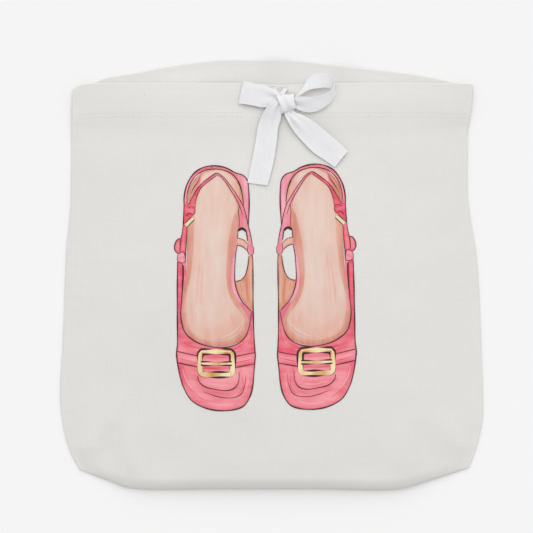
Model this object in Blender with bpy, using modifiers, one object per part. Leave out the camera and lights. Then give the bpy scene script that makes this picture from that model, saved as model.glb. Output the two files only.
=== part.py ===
"""Canvas shoe bag with a boxed bottom, lying on its back, with a hemmed mouth and a ribbon tied in a bow.

Metres, +Z up. The origin is on the surface that the bag lies on, under the middle of its outline.
+Y points to the mouth and +Z out of the front panel.
"""

import math

import bmesh
import bpy
from mathutils import Matrix, Vector

# ---------------------------------------------------------------- driving dimensions
CLOTH = 0.0006            # canvas thickness
RIBBON = 0.0003           # woven ribbon thickness
RIBBON_WIDTH = 0.016
GAP = 0.0003              # left between pieces that touch

Y_RIM = 0.144             # front panel's top edge
Y_BACK_TOP = 0.161        # highest point of the back panel's arched top edge
Y_BOTTOM = -0.161         # straight part of the bottom edge
Y_CORNER = -0.1445        # where a side meets the boxed corner's seam
X_CORNER = 0.145
X_BOTTOM = 0.101          # where the boxed corner's seam meets the bottom edge
SIDE = (                  # (y, half width) down one side of the bag
    (0.144, 0.149), (0.110, 0.1475), (0.060, 0.149), (0.000, 0.154),
    (-0.060, 0.157), (-0.100, 0.1575), (-0.128, 0.152), (-0.1445, 0.145),
)

SEAM_HEIGHT = 0.0014      # folded seam allowance between the panels
SEAM_WIDTH = 0.008
EDGE_Z = CLOTH + GAP + SEAM_HEIGHT + GAP + CLOTH   # outer face of the front panel at its edges
LOFT_RIM = 0.0078         # how far the front panel stands above its edges, at the mouth
LOFT_MIDDLE = 0.0250      # and half way down
LOFT_FOOT = 0.0225        # and above the bottom edge
CROWN_POWER = 2.4         # shape of the cross-section
CROWN_ROUND = 0.75
FOOT_SHARE = 0.055        # share of the bag's length in which the front panel curls down to the bottom

HEM_DEPTH = 0.022         # depth of the casing, from the top edge to its stitching
HEM_HALF = 0.90           # the casing's reach to each side, as a share of the half width
THREAD_RADIUS = 0.00015

HINGE_SHARE = 0.595       # where the opened mouth bends, as a share of the bag's length
HINGE_SLIT = 0.004        # the slits round the lifted part, as a share of the length and of the half width
FLAP_LOW, FLAP_HIGH = 0.53, 0.93     # the lifted part's half width at the bend and at the mouth, as shares

KNOT_X, KNOT_Y = 0.012, 0.130
KNOT_HALF = Vector((0.0065, 0.0055, 0.0032))
KNOT_LIFT = 0.0006
SLOT_X, SLOT_Y = 0.004, 0.0068       # buttonhole centre, from the knot
SLOT_HALF_LENGTH, SLOT_HALF_WIDTH = 0.0050, 0.0012
RIM_WIDTH = 0.0008
LEG_HALF_THICK = 0.0004              # the ribbon that stands in a slit
LEG_LOW, LEG_HIGH = (0.0054, -0.0009), (0.0106, 0.0026)    # its lower and upper (y, z)
TAIL_START, TAIL_WAIST = 0.0078, 0.0035
TAIL_THICK = 0.0005
LEFT_TAIL = {"length": 0.0650, "turn": math.radians(-19.7), "lift": 0.0018}
RIGHT_TAIL = {"length": 0.0580, "turn": math.radians(42.6), "lift": 0.0009}
LOOP_LIFT = 0.0027
LOOP_THICK = 0.0005
LOOP_HINGE = 0.0065       # from the knot's centre to where a loop bends up
LEFT_LOOP_NEAR, LEFT_LOOP_FAR, LEFT_LOOP_HIGH = 0.011, 0.037, 0.0053
LEFT_LOOP_TURN = math.radians(-10.5)
RIGHT_LOOP_HIGH = 0.0120
RIGHT_LOOP = (            # (x, y) round the open loop, from the knot and back to it
    (0.0110, 0.0020), (0.0180, -0.0035), (0.0275, -0.0025), (0.0345, 0.0050),
    (0.0345, 0.0140), (0.0270, 0.0195), (0.0190, 0.0150), (0.0130, 0.0080),
)

COLOURS = {               # base colour, roughness
    "canvas": ((0.80, 0.79, 0.76, 1), 0.95),
    "thread": ((0.84, 0.83, 0.80, 1), 0.80),
    "ribbon": ((0.90, 0.90, 0.93, 1), 0.60),
}

ORIGIN = Vector((0, 0, 0))


# ---------------------------------------------------------------- scene helpers
def clear_scene():
    for obj in list(bpy.data.objects):
        bpy.data.objects.remove(obj)
    for name in ("Shoe bag", "Cutters"):
        bpy.context.scene.collection.children.link(bpy.data.collections.new(name))


def materials():
    made = {}
    for name, (colour, roughness) in COLOURS.items():
        material = bpy.data.materials.new(name)
        material.use_nodes = True
        shader = material.node_tree.nodes["Principled BSDF"]
        shader.inputs["Base Color"].default_value = colour
        shader.inputs["Roughness"].default_value = roughness
        shader.inputs["Metallic"].default_value = 0.0
        made[name] = material
    return made


def add_object(name, data, finish, parent=None, collection="Shoe bag"):
    obj = bpy.data.objects.new(name, data)
    bpy.data.collections[collection].objects.link(obj)
    obj.parent = parent
    if finish:
        data.materials.append(FINISH[finish])
    return obj


def add_mesh(name, shape, finish, parent=None):
    data = bpy.data.meshes.new(name)
    shape.to_mesh(data)
    shape.free()
    data.shade_smooth()
    return add_object(name, data, finish, parent)


# ---------------------------------------------------------------- the bag's shape
def smooth_table(table, at):
    """The value at a place, on a smooth curve through a table of (place, value) in falling order."""
    at = max(min(at, table[0][0]), table[-1][0])
    i = next(k for k in range(len(table) - 1) if at >= table[k + 1][0])
    before, after = max(i - 1, 0), min(i + 2, len(table) - 1)
    (x0, y0), (x1, y1) = table[i], table[i + 1]
    slope0 = (y1 - table[before][1]) / (x1 - table[before][0])
    slope1 = (table[after][1] - y0) / (table[after][0] - x0)
    t, span = (at - x0) / (x1 - x0), x1 - x0
    return (
        (2 * t**3 - 3 * t**2 + 1) * y0 + (t**3 - 2 * t**2 + t) * span * slope0
        + (3 * t**2 - 2 * t**3) * y1 + (t**3 - t**2) * span * slope1
    )


def plan(u, v, rise=0.0):
    """A place seen from above: u runs from -1 to 1 across the bag, and v from 0 to 1 up to its top edge."""
    x = u * smooth_table(SIDE, Y_CORNER + v * (Y_RIM - Y_CORNER))
    cut = min(max((abs(x) - X_BOTTOM) / (X_CORNER - X_BOTTOM), 0), 1)
    low = Y_BOTTOM + cut * (Y_CORNER - Y_BOTTOM)
    return Vector((x, low + v * (Y_RIM + rise - low), 0))


def back(u, v):
    """The back panel's inner face, which lies flat and has an arched top edge."""
    place = plan(u, v, (Y_BACK_TOP - Y_RIM) * math.cos(math.pi / 2 * u) ** 1.2)
    place.z = CLOTH
    return place


def loft(u, v):
    """Height of the front panel's outer face."""
    if v > 0.5:
        high = LOFT_MIDDLE - (LOFT_MIDDLE - LOFT_RIM) * (2 * v - 1) ** 2
    else:
        high = LOFT_MIDDLE - (LOFT_MIDDLE - LOFT_FOOT) * (1 - 2 * v) ** 2
    curl = math.sqrt(1 - (1 - min(v / FOOT_SHARE, 1)) ** 2)
    crown = max(1 - abs(u) ** CROWN_POWER, 0) ** CROWN_ROUND
    return EDGE_Z + high * curl * crown


def front(u, v):
    """The front panel's outer face."""
    place = plan(u, v)
    place.z = loft(u, v)
    return place


def front_at(x, y):
    """The (u, v) of the front panel under a place."""
    v = (y - Y_BOTTOM) / (Y_RIM - Y_BOTTOM)
    return x / smooth_table(SIDE, Y_CORNER + v * (Y_RIM - Y_CORNER)), v


def share_below_rim(depth):
    return 1 - depth / (Y_RIM - Y_BOTTOM)


def raised(place, rise):
    """The same face, higher by rise."""
    return lambda u, v: place(u, v) + Vector((0, 0, rise))


def spread(t):
    """0 to 1 with steps that close up towards both ends, where the cross-section turns fastest."""
    return 0.5 - 0.5 * math.cos(math.pi * t)


def patch(name, finish, place, sides, ends, cells, thick, parent=None):
    """A thin sheet whose upper face is place(u, v). sides gives its two u at a v, and ends its two v."""
    origin = parent.location if parent else ORIGIN
    mesh = bmesh.new()
    bmesh.ops.create_grid(mesh, x_segments=cells[0], y_segments=cells[1], size=0.5)
    for vert in mesh.verts:
        v = ends[0] + (vert.co.y + 0.5) * (ends[1] - ends[0])
        low, high = sides(v)
        vert.co = place(low + (high - low) * spread(vert.co.x + 0.5), v) - origin
    obj = add_mesh(name, mesh, finish, parent)
    shell = obj.modifiers.new("Thickness", "SOLIDIFY")
    shell.thickness, shell.offset = thick, -1
    return obj


def between(low, high):
    return lambda v: (low, high)


# ---------------------------------------------------------------- canvas
def flap_half(v):
    """Half width of the part of the front panel that lifts, as a share of the bag's half width."""
    t = (v - HINGE_SHARE) / (1 - HINGE_SHARE)
    return FLAP_LOW + t * (FLAP_HIGH - FLAP_LOW)


def panels(hinge):
    """The back panel, and the front panel in the stretches that stay put and the one that lifts."""
    low, high = HINGE_SHARE - HINGE_SLIT / 2, HINGE_SHARE + HINGE_SLIT / 2
    fold = FOOT_SHARE + HINGE_SLIT / 2
    patch("back_panel", "canvas", back, between(-1, 1), (0, 1), (24, 14), CLOTH)
    patch("bottom_gusset", "canvas", front, between(-1, 1), (0, FOOT_SHARE), (28, 5), CLOTH)
    patch("front_panel_lower", "canvas", front, between(-1, 1), (fold, low), (28, 12), CLOTH)
    for name, side in (("left", -1), ("right", 1)):
        patch(
            f"front_side_{name}", "canvas", front,
            lambda v, side=side: sorted((side, side * (flap_half(v) + HINGE_SLIT))),
            (high, 1), (6, 12), CLOTH,
        )
    return patch(
        "front_panel_upper", "canvas", front, lambda v: (-flap_half(v), flap_half(v)),
        (high, 1), (24, 12), CLOTH, hinge,
    )


def hems(hinge):
    """The turned-in edges that make the casing with the panels."""
    ends, sides = (share_below_rim(HEM_DEPTH), 0.999), between(-HEM_HALF, HEM_HALF)
    under = raised(front, -(CLOTH + RIBBON + 2 * GAP))
    over = raised(back, CLOTH + RIBBON + 2 * GAP)
    patch("front_hem", "canvas", under, sides, ends, (20, 2), CLOTH, hinge)
    patch("back_hem", "canvas", over, sides, ends, (20, 2), CLOTH)


def seams():
    """The folded seam allowances inside the bag, between the panels."""
    lying = raised(plan, CLOTH + GAP + SEAM_HEIGHT)
    width = SEAM_WIDTH / X_CORNER
    depth = SEAM_WIDTH / (Y_RIM - Y_BOTTOM)
    corner = X_BOTTOM / X_CORNER
    for name, side in (("left", -1), ("right", 1)):
        patch(
            f"{name}_side_seam", "canvas", lying,
            between(*sorted((side * (1 - width), side * 0.996))), (depth + 0.006, 0.998), (1, 24), SEAM_HEIGHT,
        )
        patch(
            f"{name}_corner_seam", "canvas", lying,
            between(*sorted((side * (corner + 0.012), side * 0.985))), (0.003, depth), (6, 1), SEAM_HEIGHT,
        )
    patch(
        "bottom_seam", "canvas", lying, between(0.004 - corner, corner - 0.004),
        (0.003, depth), (4, 1), SEAM_HEIGHT,
    )


# ---------------------------------------------------------------- thread
def thread(name, points, parent=None):
    origin = parent.location if parent else ORIGIN
    curve = bpy.data.curves.new(name, "CURVE")
    curve.dimensions = "3D"
    curve.bevel_depth, curve.bevel_resolution, curve.use_fill_caps = THREAD_RADIUS, 1, True
    spline = curve.splines.new("POLY")
    spline.points.add(len(points) - 1)
    for point, place in zip(spline.points, points, strict=True):
        point.co = (*(place - origin), 1)
    add_object(name, curve, "thread", parent)


def hem_stitching(hinge):
    steps = 40
    v = share_below_rim(HEM_DEPTH - 0.0015)
    across = [HEM_HALF * (2 * spread(k / steps) - 1) for k in range(steps + 1)]
    over_front = raised(front, GAP + THREAD_RADIUS)
    over_back = raised(back, 2 * CLOTH + RIBBON + 3 * GAP + THREAD_RADIUS)
    thread("front_hem_stitching", [over_front(u, v) for u in across], hinge)
    thread("back_hem_stitching", [over_back(u, v) for u in across])


# ---------------------------------------------------------------- ribbon in the casing
def casing_ribbon(hinge):
    ends = share_below_rim((HEM_DEPTH + RIBBON_WIDTH) / 2), share_below_rim((HEM_DEPTH - RIBBON_WIDTH) / 2)
    reach = HEM_HALF - 0.02
    beside = SLOT_X + SLOT_HALF_WIDTH + 0.0012
    under = raised(front, -(CLOTH + GAP))
    stretches = {
        "left": between(-reach, front_at(KNOT_X - beside, KNOT_Y)[0]),
        "right": between(front_at(KNOT_X + beside, KNOT_Y)[0], reach),
    }
    for name, sides in stretches.items():
        patch(f"ribbon_front_{name}", "ribbon", under, sides, ends, (14, 1), RIBBON, hinge)
    patch("ribbon_back", "ribbon", raised(back, GAP + RIBBON), between(-reach, reach), ends, (20, 1), RIBBON)


# ---------------------------------------------------------------- the bow
def empty(name, matrix, parent=None):
    obj = bpy.data.objects.new(name, None)
    bpy.data.collections["Shoe bag"].objects.link(obj)
    obj.parent = parent
    obj.matrix_local = matrix
    return obj


def bow_frame(hinge):
    """Where the knot sits on the front panel: x across the bag, and z out of the panel."""
    u, v = front_at(KNOT_X, KNOT_Y)
    step = 0.01
    across = front(u + step, v) - front(u - step, v)
    along = front(u, v + step) - front(u, v - step)
    out = across.cross(along).normalized()
    across = (across - across.dot(out) * out).normalized()
    turn = Matrix((across, out.cross(across), out)).transposed().to_4x4()
    return empty("bow_frame", Matrix.Translation(front(u, v) - hinge.location) @ turn, hinge)


def flat_outline(name, rings, half_thick, parent, finish="ribbon", collection="Shoe bag"):
    """A flat piece from closed rings of (x, y): the first is its outline, and the others are holes."""
    curve = bpy.data.curves.new(name, "CURVE")
    curve.dimensions, curve.fill_mode, curve.extrude = "2D", "BOTH", half_thick
    for ring in rings:
        spline = curve.splines.new("POLY")
        spline.points.add(len(ring) - 1)
        for point, (x, y) in zip(spline.points, ring, strict=True):
            point.co = (x, y, 0, 1)
        spline.use_cyclic_u = True
    return add_object(name, curve, finish, parent, collection)


def stadium(half_length, half_width, steps=6):
    """A slot's outline, long way along x."""
    straight = half_length - half_width
    ring = []
    for side in (1, -1):
        for k in range(steps + 1):
            a = math.pi * k / steps
            ring.append((side * (straight + half_width * math.sin(a)), -side * half_width * math.cos(a)))
    return ring


def tail(name, frame, length, turn, lift):
    """A flat ribbon end, pinched where it leaves the knot, that points down the bag before its turn."""
    half = RIBBON_WIDTH / 2
    right = [(TAIL_WAIST, -TAIL_START), (0.0062, -0.014), (half, -0.022), (half, -length)]
    obj = flat_outline(name, [right + [(-x, y) for x, y in reversed(right)]], TAIL_THICK / 2, frame)
    obj.location = (0, 0, lift + TAIL_THICK / 2)
    obj.rotation_euler = (0, 0, turn)


def inset_ring(points, inset):
    """The ring moved inwards, along the inward side of each corner."""
    moved = []
    for k, here in enumerate(points):
        before, after = Vector(points[k - 1]), Vector(points[(k + 1) % len(points)])
        along = (after - before).normalized()
        moved.append(tuple(Vector(here) + inset * Vector((-along.y, along.x))))
    return moved


def rounded(points, steps=4):
    """A closed smooth curve through points, as (x, y)."""
    ring = []
    for k in range(len(points)):
        a, b, c, d = (Vector(points[(k + j) % len(points)]) for j in (-1, 0, 1, 2))
        for i in range(steps):
            t = i / steps
            bend = (2 * a - 5 * b + 4 * c - d) * t**2 + (3 * b - a - 3 * c + d) * t**3
            ring.append(tuple(0.5 * (2 * b + (c - a) * t + bend)))
    return ring


def left_loop(frame):
    """A flattened loop: an upright ring that the ribbon's width makes long, lying to the left of the knot."""
    bend = Matrix.Rotation(LEFT_LOOP_TURN, 4, "Z") @ Matrix.Translation((-LOOP_HINGE, 0, LOOP_LIFT))
    hinge = empty("left_loop_hinge", bend, frame)
    half_length, half_high = (LEFT_LOOP_FAR - LEFT_LOOP_NEAR) / 2, LEFT_LOOP_HIGH / 2
    rings = [
        stadium(half_length, half_high),
        stadium(half_length - LOOP_THICK, half_high - LOOP_THICK),
    ]
    loop = flat_outline("ribbon_loop_left", rings, RIBBON_WIDTH / 2, hinge)
    loop.location = (LOOP_HINGE - LEFT_LOOP_NEAR - half_length, 0, half_high)
    loop.rotation_euler = (math.pi / 2, 0, 0)


def right_loop(frame):
    """An open loop that stands on the ribbon's edge."""
    hinge = empty("right_loop_hinge", Matrix.Translation((LOOP_HINGE, 0, LOOP_LIFT)), frame)
    ring = [(x - LOOP_HINGE, y) for x, y in rounded(RIGHT_LOOP)]
    rings = [ring, inset_ring(ring, LOOP_THICK)]
    loop = flat_outline("ribbon_loop_right", rings, RIGHT_LOOP_HIGH / 2, hinge)
    loop.location = (0, 0, RIGHT_LOOP_HIGH / 2)


def knot(frame):
    ball = bmesh.new()
    size = Matrix.Diagonal((*KNOT_HALF, 1))
    bmesh.ops.create_uvsphere(ball, u_segments=16, v_segments=10, radius=1, matrix=size)
    add_mesh("ribbon_knot", ball, "ribbon", frame).location = (0, 0, KNOT_LIFT + KNOT_HALF.z)


# ---------------------------------------------------------------- buttonholes
def buttonholes(frame, panel):
    """The two slits that the ribbon leaves the casing by, their stitched rims and the ribbon in them."""
    for name, side in (("left", -1), ("right", 1)):
        outline = stadium(SLOT_HALF_LENGTH, SLOT_HALF_WIDTH)
        cutter = flat_outline(f"{name}_slit", [outline], 0.003, frame, None, "Cutters")
        rim = stadium(SLOT_HALF_LENGTH + RIM_WIDTH, SLOT_HALF_WIDTH + RIM_WIDTH)
        ring = flat_outline(f"{name}_buttonhole", [rim, outline], THREAD_RADIUS / 2, frame, "thread")
        for obj, height in ((cutter, 0), (ring, GAP + THREAD_RADIUS / 2)):
            obj.location = (side * SLOT_X, SLOT_Y, height)
            obj.rotation_euler = (0, 0, math.pi / 2)
        cut_with_curve(panel, cutter)

        plate = bmesh.new()
        low, high = (side * SLOT_X - LEG_HALF_THICK, *LEG_LOW), (side * SLOT_X + LEG_HALF_THICK, *LEG_HIGH)
        middle = (Vector(low) + Vector(high)) / 2
        bmesh.ops.create_cube(plate, size=1, matrix=Matrix.Diagonal((*(Vector(high) - Vector(low)), 1)))
        add_mesh(f"ribbon_leg_{name}", plate, "ribbon", frame).location = middle


def cut_with_curve(panel, curve):
    """Cuts a panel with a flat outline, which becomes a closed mesh first."""
    bpy.context.view_layer.update()
    graph = bpy.context.evaluated_depsgraph_get()
    data = bpy.data.meshes.new_from_object(curve.evaluated_get(graph))
    solid = bmesh.new()
    solid.from_mesh(data)
    bmesh.ops.remove_doubles(solid, verts=solid.verts, dist=1e-6)
    bmesh.ops.recalc_face_normals(solid, faces=solid.faces)
    solid.to_mesh(data)
    solid.free()
    name, world = curve.name, curve.matrix_world.copy()
    bpy.data.objects.remove(curve)
    cutter = add_object(name, data, None, None, "Cutters")
    cutter.matrix_world = world
    cutter.hide_render = True
    cutter.display_type = "WIRE"
    cut = panel.modifiers.new(name, "BOOLEAN")
    cut.operation, cut.object, cut.solver = "DIFFERENCE", cutter, "EXACT"


def main():
    hinge = empty("mouth_hinge", Matrix.Translation(front(0, HINGE_SHARE)))
    upper = panels(hinge)
    hems(hinge)
    seams()
    hem_stitching(hinge)
    casing_ribbon(hinge)
    frame = bow_frame(hinge)
    knot(frame)
    tail("ribbon_tail_left", frame, **LEFT_TAIL)
    tail("ribbon_tail_right", frame, **RIGHT_TAIL)
    left_loop(frame)
    right_loop(frame)
    buttonholes(frame, upper)


clear_scene()
FINISH = materials()
main()
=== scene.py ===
"""The looks of a canvas shoe bag with a ribbon bow and a printed front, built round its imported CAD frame.

Metres, in the frame's own axes: the bag lies on its back, +Y points to the mouth and +Z out of the front.
Only the points of the bow and of the print are in millimetres.
"""

import math

import bmesh
import bpy
import numpy as np
from mathutils import Matrix, Vector, geometry, noise


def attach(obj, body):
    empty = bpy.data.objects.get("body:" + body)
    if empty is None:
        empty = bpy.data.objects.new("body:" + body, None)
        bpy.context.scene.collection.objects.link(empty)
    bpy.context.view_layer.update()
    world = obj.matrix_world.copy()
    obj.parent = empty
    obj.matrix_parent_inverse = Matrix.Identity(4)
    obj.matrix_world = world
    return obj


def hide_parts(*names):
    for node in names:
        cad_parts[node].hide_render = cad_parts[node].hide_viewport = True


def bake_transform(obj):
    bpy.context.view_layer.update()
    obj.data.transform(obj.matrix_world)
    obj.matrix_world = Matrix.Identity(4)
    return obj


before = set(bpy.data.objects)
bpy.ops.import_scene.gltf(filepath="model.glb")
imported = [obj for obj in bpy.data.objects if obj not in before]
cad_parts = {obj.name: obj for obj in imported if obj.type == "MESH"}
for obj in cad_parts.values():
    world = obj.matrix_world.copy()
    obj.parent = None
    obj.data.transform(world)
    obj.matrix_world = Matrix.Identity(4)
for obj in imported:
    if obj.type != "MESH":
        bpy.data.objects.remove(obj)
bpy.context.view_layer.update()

# ---------------------------------------------------------------- sizes
CLOTH = 0.0006                          # thickness of the canvas
HEM_DEPTH = 0.0245
FOLD, FLAT_FOLD = 0.0009, 0.0003        # radius of the mouth's turned-in edge, and of it at a side seam
SEAM_Z, HEM_SEAM_Z = 0.0013, 0.0029     # height of the side seams, and of the thicker stack at the hem
RIM_LOFT, MIDDLE_LOFT, FOOT_LOFT = 0.0054, 0.0190, 0.0106       # how far the front stands above its seams
CROWN_POWER, CROWN_ROUND = 2.7, 0.97    # shape of the front from side to side
FOOT_SHARE = 0.030                      # share of the length in which the front curls down to its foot
BACK_Z = 0.0003                         # height of the back's outer face over the floor
BACK_RIM_Z = 0.0030                     # and how far the back's loose rim rises
STITCH_ROWS = (0.0222, 0.0252)          # from the top edge
STITCH_LENGTH, STITCH_STEP, THREAD = 0.0021, 0.0029, 0.00021

RIBBON = 0.00035                        # thickness of the ribbon
RIBBON_WIDTH = 0.0155
CASING_TOP = 0.0040                     # from the top edge to the ribbon in the casing
ALLOWANCE_START, ALLOWANCE_WIDTH = 0.0034, 0.0056       # the folded cloth inside a seam, from the seam

# The outline: each side as (y, distance from the middle), and the edges as (x, y).
LEFT_SIDE = (
    (-0.1455, 0.1430), (-0.1280, 0.1515), (-0.1090, 0.1560), (-0.0880, 0.1580), (-0.0410, 0.1557),
    (0.0190, 0.1535), (0.0640, 0.1499), (0.1090, 0.1495), (0.1420, 0.1487),
)
RIGHT_SIDE = (
    (-0.1440, 0.1480), (-0.1250, 0.1545), (-0.1020, 0.1583), (-0.0560, 0.1570), (0.0110, 0.1538),
    (0.0400, 0.1494), (0.0640, 0.1466), (0.1090, 0.1468), (0.1240, 0.1490), (0.1440, 0.1511),
)
FOOT_EDGE = (
    (-0.1430, -0.1455), (-0.1240, -0.1530), (-0.1040, -0.1596), (-0.0880, -0.1604), (-0.0300, -0.1598),
    (0.0300, -0.1598), (0.0820, -0.1608), (0.0960, -0.1600), (0.1200, -0.1532), (0.1480, -0.1440),
)
FRONT_RIM = (
    (-0.1490, 0.1385), (-0.1474, 0.1405), (-0.1459, 0.1416), (-0.1429, 0.1427), (-0.1361, 0.1436),
    (-0.1290, 0.1438), (-0.0300, 0.1437), (0.0070, 0.1424), (0.0500, 0.1437), (0.1300, 0.1438),
    (0.1440, 0.1437), (0.1510, 0.1434),
)
BACK_RIM = (
    (-0.1490, 0.1385), (-0.1474, 0.1402), (-0.1429, 0.1423), (-0.1361, 0.1433), (-0.1315, 0.1447),
    (-0.1249, 0.1475), (-0.1024, 0.1514), (-0.0776, 0.1561), (-0.0300, 0.1612), (0.0100, 0.1609),
    (0.0544, 0.1562), (0.1024, 0.1509), (0.1264, 0.1467), (0.1339, 0.1449), (0.1384, 0.1440),
    (0.1510, 0.1431),
)
Y_FOOT, Y_RIM = -0.1445, 0.1435
HALF_SPAN = 0.150                       # about half the bag's width, to turn a share of it into a distance

# The front is made of a middle and two sides.
CUT_X = 0.0765                          # where the middle meets the sides
INNER, OUTER, ROWS = 86, 46, 170        # points across the middle, across each side, and up a panel

KNOT = (11.5, 129.0)                    # in millimetres, as the ribbons of the bow are
BOW_DROP = 0.0008                       # how much lower the whole bow lies than its points say

CANVAS_COLOUR = (0.750, 0.741, 0.714)   # linear light
RIBBON_COLOUR = (0.815, 0.817, 0.838)
FLOOR_COLOUR = (0.90, 0.90, 0.90, 1)
FLECK_COLOUR = (0.42, 0.36, 0.27, 1)    # bits of husk in the canvas
CANVAS_PITCH, CANVAS_SLUB = 0.00052, 0.5        # distance between threads, and how uneven they are


# ---------------------------------------------------------------- small tools
def calm_slopes(places, values):
    """A slope at each place of a table that keeps the curve from swinging past the values."""
    gaps = np.diff(places)
    rises = np.diff(values) / gaps
    slopes = np.concatenate([rises[:1], 0 * rises[1:], rises[-1:]])
    for k in range(1, len(places) - 1):
        before, after = rises[k - 1], rises[k]
        if before * after > 0:
            a, b = 2 * gaps[k] + gaps[k - 1], gaps[k] + 2 * gaps[k - 1]
            slopes[k] = (a + b) / (a / before + b / after)
    return slopes


def through(table, at, slopes_of=calm_slopes):
    """Values on a smooth curve through a table of (place, value), held level past its ends."""
    places, values = (np.array(column, float) for column in zip(*sorted(table), strict=True))
    slopes = slopes_of(places, values)
    at = np.clip(np.asarray(at, float), places[0], places[-1])
    i = np.clip(np.searchsorted(places, at) - 1, 0, len(places) - 2)
    span = places[i + 1] - places[i]
    t = (at - places[i]) / span
    return (
        (2 * t**3 - 3 * t**2 + 1) * values[i] + (t**3 - 2 * t**2 + t) * span * slopes[i]
        + (3 * t**2 - 2 * t**3) * values[i + 1] + (t**3 - t**2) * span * slopes[i + 1]
    )


def ramp(value, low, high):
    """0 below low and 1 above high, smooth between."""
    t = np.clip((np.asarray(value, float) - low) / (high - low), 0, 1)
    return t * t * (3 - 2 * t)


def bump_at(value, centre, width):
    """1 at a centre, and close to 0 two widths away."""
    return np.exp(-(((value - centre) / width) ** 2))


def cloud(x, y, size, seed, stretch=1.0):
    """Smooth noise from about -1 to 1 over a plane: lumps of a size, longer in y if stretch is over 1."""
    x, y = np.broadcast_arrays(np.asarray(x, float), np.asarray(y, float))
    flat = zip(x.ravel() / size, y.ravel() / (size * stretch), strict=True)
    return 1.6 * np.array([noise.noise((a, b, seed)) for a, b in flat]).reshape(x.shape)


def near_line(x, y, start, end):
    """Distance from a line's stretch, and how far along it, as a share."""
    start, end = np.array(start, float), np.array(end, float)
    along = end - start
    share = np.clip(((x - start[0]) * along[0] + (y - start[1]) * along[1]) / (along @ along), 0, 1)
    return np.hypot(x - start[0] - share * along[0], y - start[1] - share * along[1]), share


def smooth_mesh(name, verts, faces):
    """A mesh of points and faces, shaded smooth."""
    mesh = bpy.data.meshes.new(name)
    mesh.from_pydata(verts, [], faces)
    mesh.shade_smooth()
    return mesh


def new_object(name, data, material=None):
    """An object in the scene, with its material if it has one."""
    obj = bpy.data.objects.new(name, data)
    bpy.context.scene.collection.objects.link(obj)
    if material:
        data.materials.append(material)
    return obj


# ---------------------------------------------------------------- the bag's shape
def half_width(y, x):
    """Distance of the side seam from the middle, on the side that x is on."""
    return np.where(np.asarray(x) < 0, through(LEFT_SIDE, y), through(RIGHT_SIDE, y))


def shares(x, y, rim):
    """(u, v) of a place: u from -1 to 1 across the bag, and v from 0 at the bottom to 1 at a rim."""
    low = through(FOOT_EDGE, x)
    v = np.clip((y - low) / (through(rim, x) - low), 0, 1)
    u = x / half_width(Y_FOOT + v * (Y_RIM - Y_FOOT), x)
    return np.clip(u, -1, 1), v


def seam_height(v):
    """Height of the side seams, which thicken at the hem."""
    return SEAM_Z + (HEM_SEAM_Z - SEAM_Z) * ramp(v, 0.86, 0.93)


def creases(x, y):
    """Unevenness of cloth that has been folded and carried: swells, small waves and faint fold lines."""
    swells = 0.0011 * cloud(x, y, 0.095, 1.3) + 0.00042 * cloud(x, y, 0.040, 4.1, 0.8)
    waves = 0.00016 * cloud(x, y, 0.017, 7.7, 1.5)
    lines = bump_at(cloud(x, y, 0.080, 11.9), 0, 0.10) * ramp(cloud(x, y, 0.060, 15.2), 0.0, 0.6)
    across = bump_at(y - 0.06 * x, 0.016 + 0.004 * np.sin(x / 0.03), 0.0045)
    across = across * ramp(cloud(x, y, 0.05, 21.0), -0.5, 0.4)
    return swells + waves + 0.00030 * lines + 0.00040 * across


def gathers(x, y):
    """Folds that run out from where the ribbon leaves the casing."""
    dx, dy = x - 0.0066, y - 0.1392
    far, angle = np.hypot(dx, dy), np.arctan2(dy, dx)
    folds = np.cos(6.5 * angle + 0.9 + far / 0.02) * far / (far + 0.006) * np.exp(-far / 0.024)
    hollow = np.exp(-(((x - 0.003) / 0.036) ** 2) - ((y - 0.112) / 0.030) ** 2)
    return 0.0015 * folds - 0.0020 * np.exp(-((far / 0.0050) ** 2)) - 0.0012 * hollow


def puckers(y, seam_gap):
    """Little waves along a side seam, which draws the cloth in."""
    uneven = 0.5 + 0.5 * np.sin(y / 0.019 + 1.7)
    return 0.00022 * uneven * np.sin(y / 0.0017 + 3.0 * np.sin(y / 0.013)) * np.exp(-seam_gap / 0.005)


def corner_folds(x, y):
    """Folds and hollows that fan out from the boxed corners, each (start, end, height, width)."""
    folds = (
        ((-0.146, -0.1445), (-0.106, -0.082), 0.0019, 0.0075),
        ((0.150, -0.1440), (0.118, -0.094), 0.0017, 0.0070),
        ((-0.100, -0.1600), (-0.112, -0.100), 0.0015, 0.0070),
        ((0.100, -0.1600), (0.094, -0.108), 0.0015, 0.0075),
        ((-0.124, -0.1530), (-0.120, -0.110), -0.0016, 0.0060),
        ((0.126, -0.1520), (0.110, -0.108), -0.0014, 0.0060),
        ((-0.078, -0.1605), (-0.084, -0.112), -0.0010, 0.0080),
        ((0.070, -0.1605), (0.080, -0.120), -0.0010, 0.0080),
    )
    total = 0.0
    for start, end, high, width in folds:
        gap, share = near_line(x, y, start, end)
        total = total + high * np.exp(-((gap / width) ** 2)) * (1 - share) ** 0.8
    return total


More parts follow.
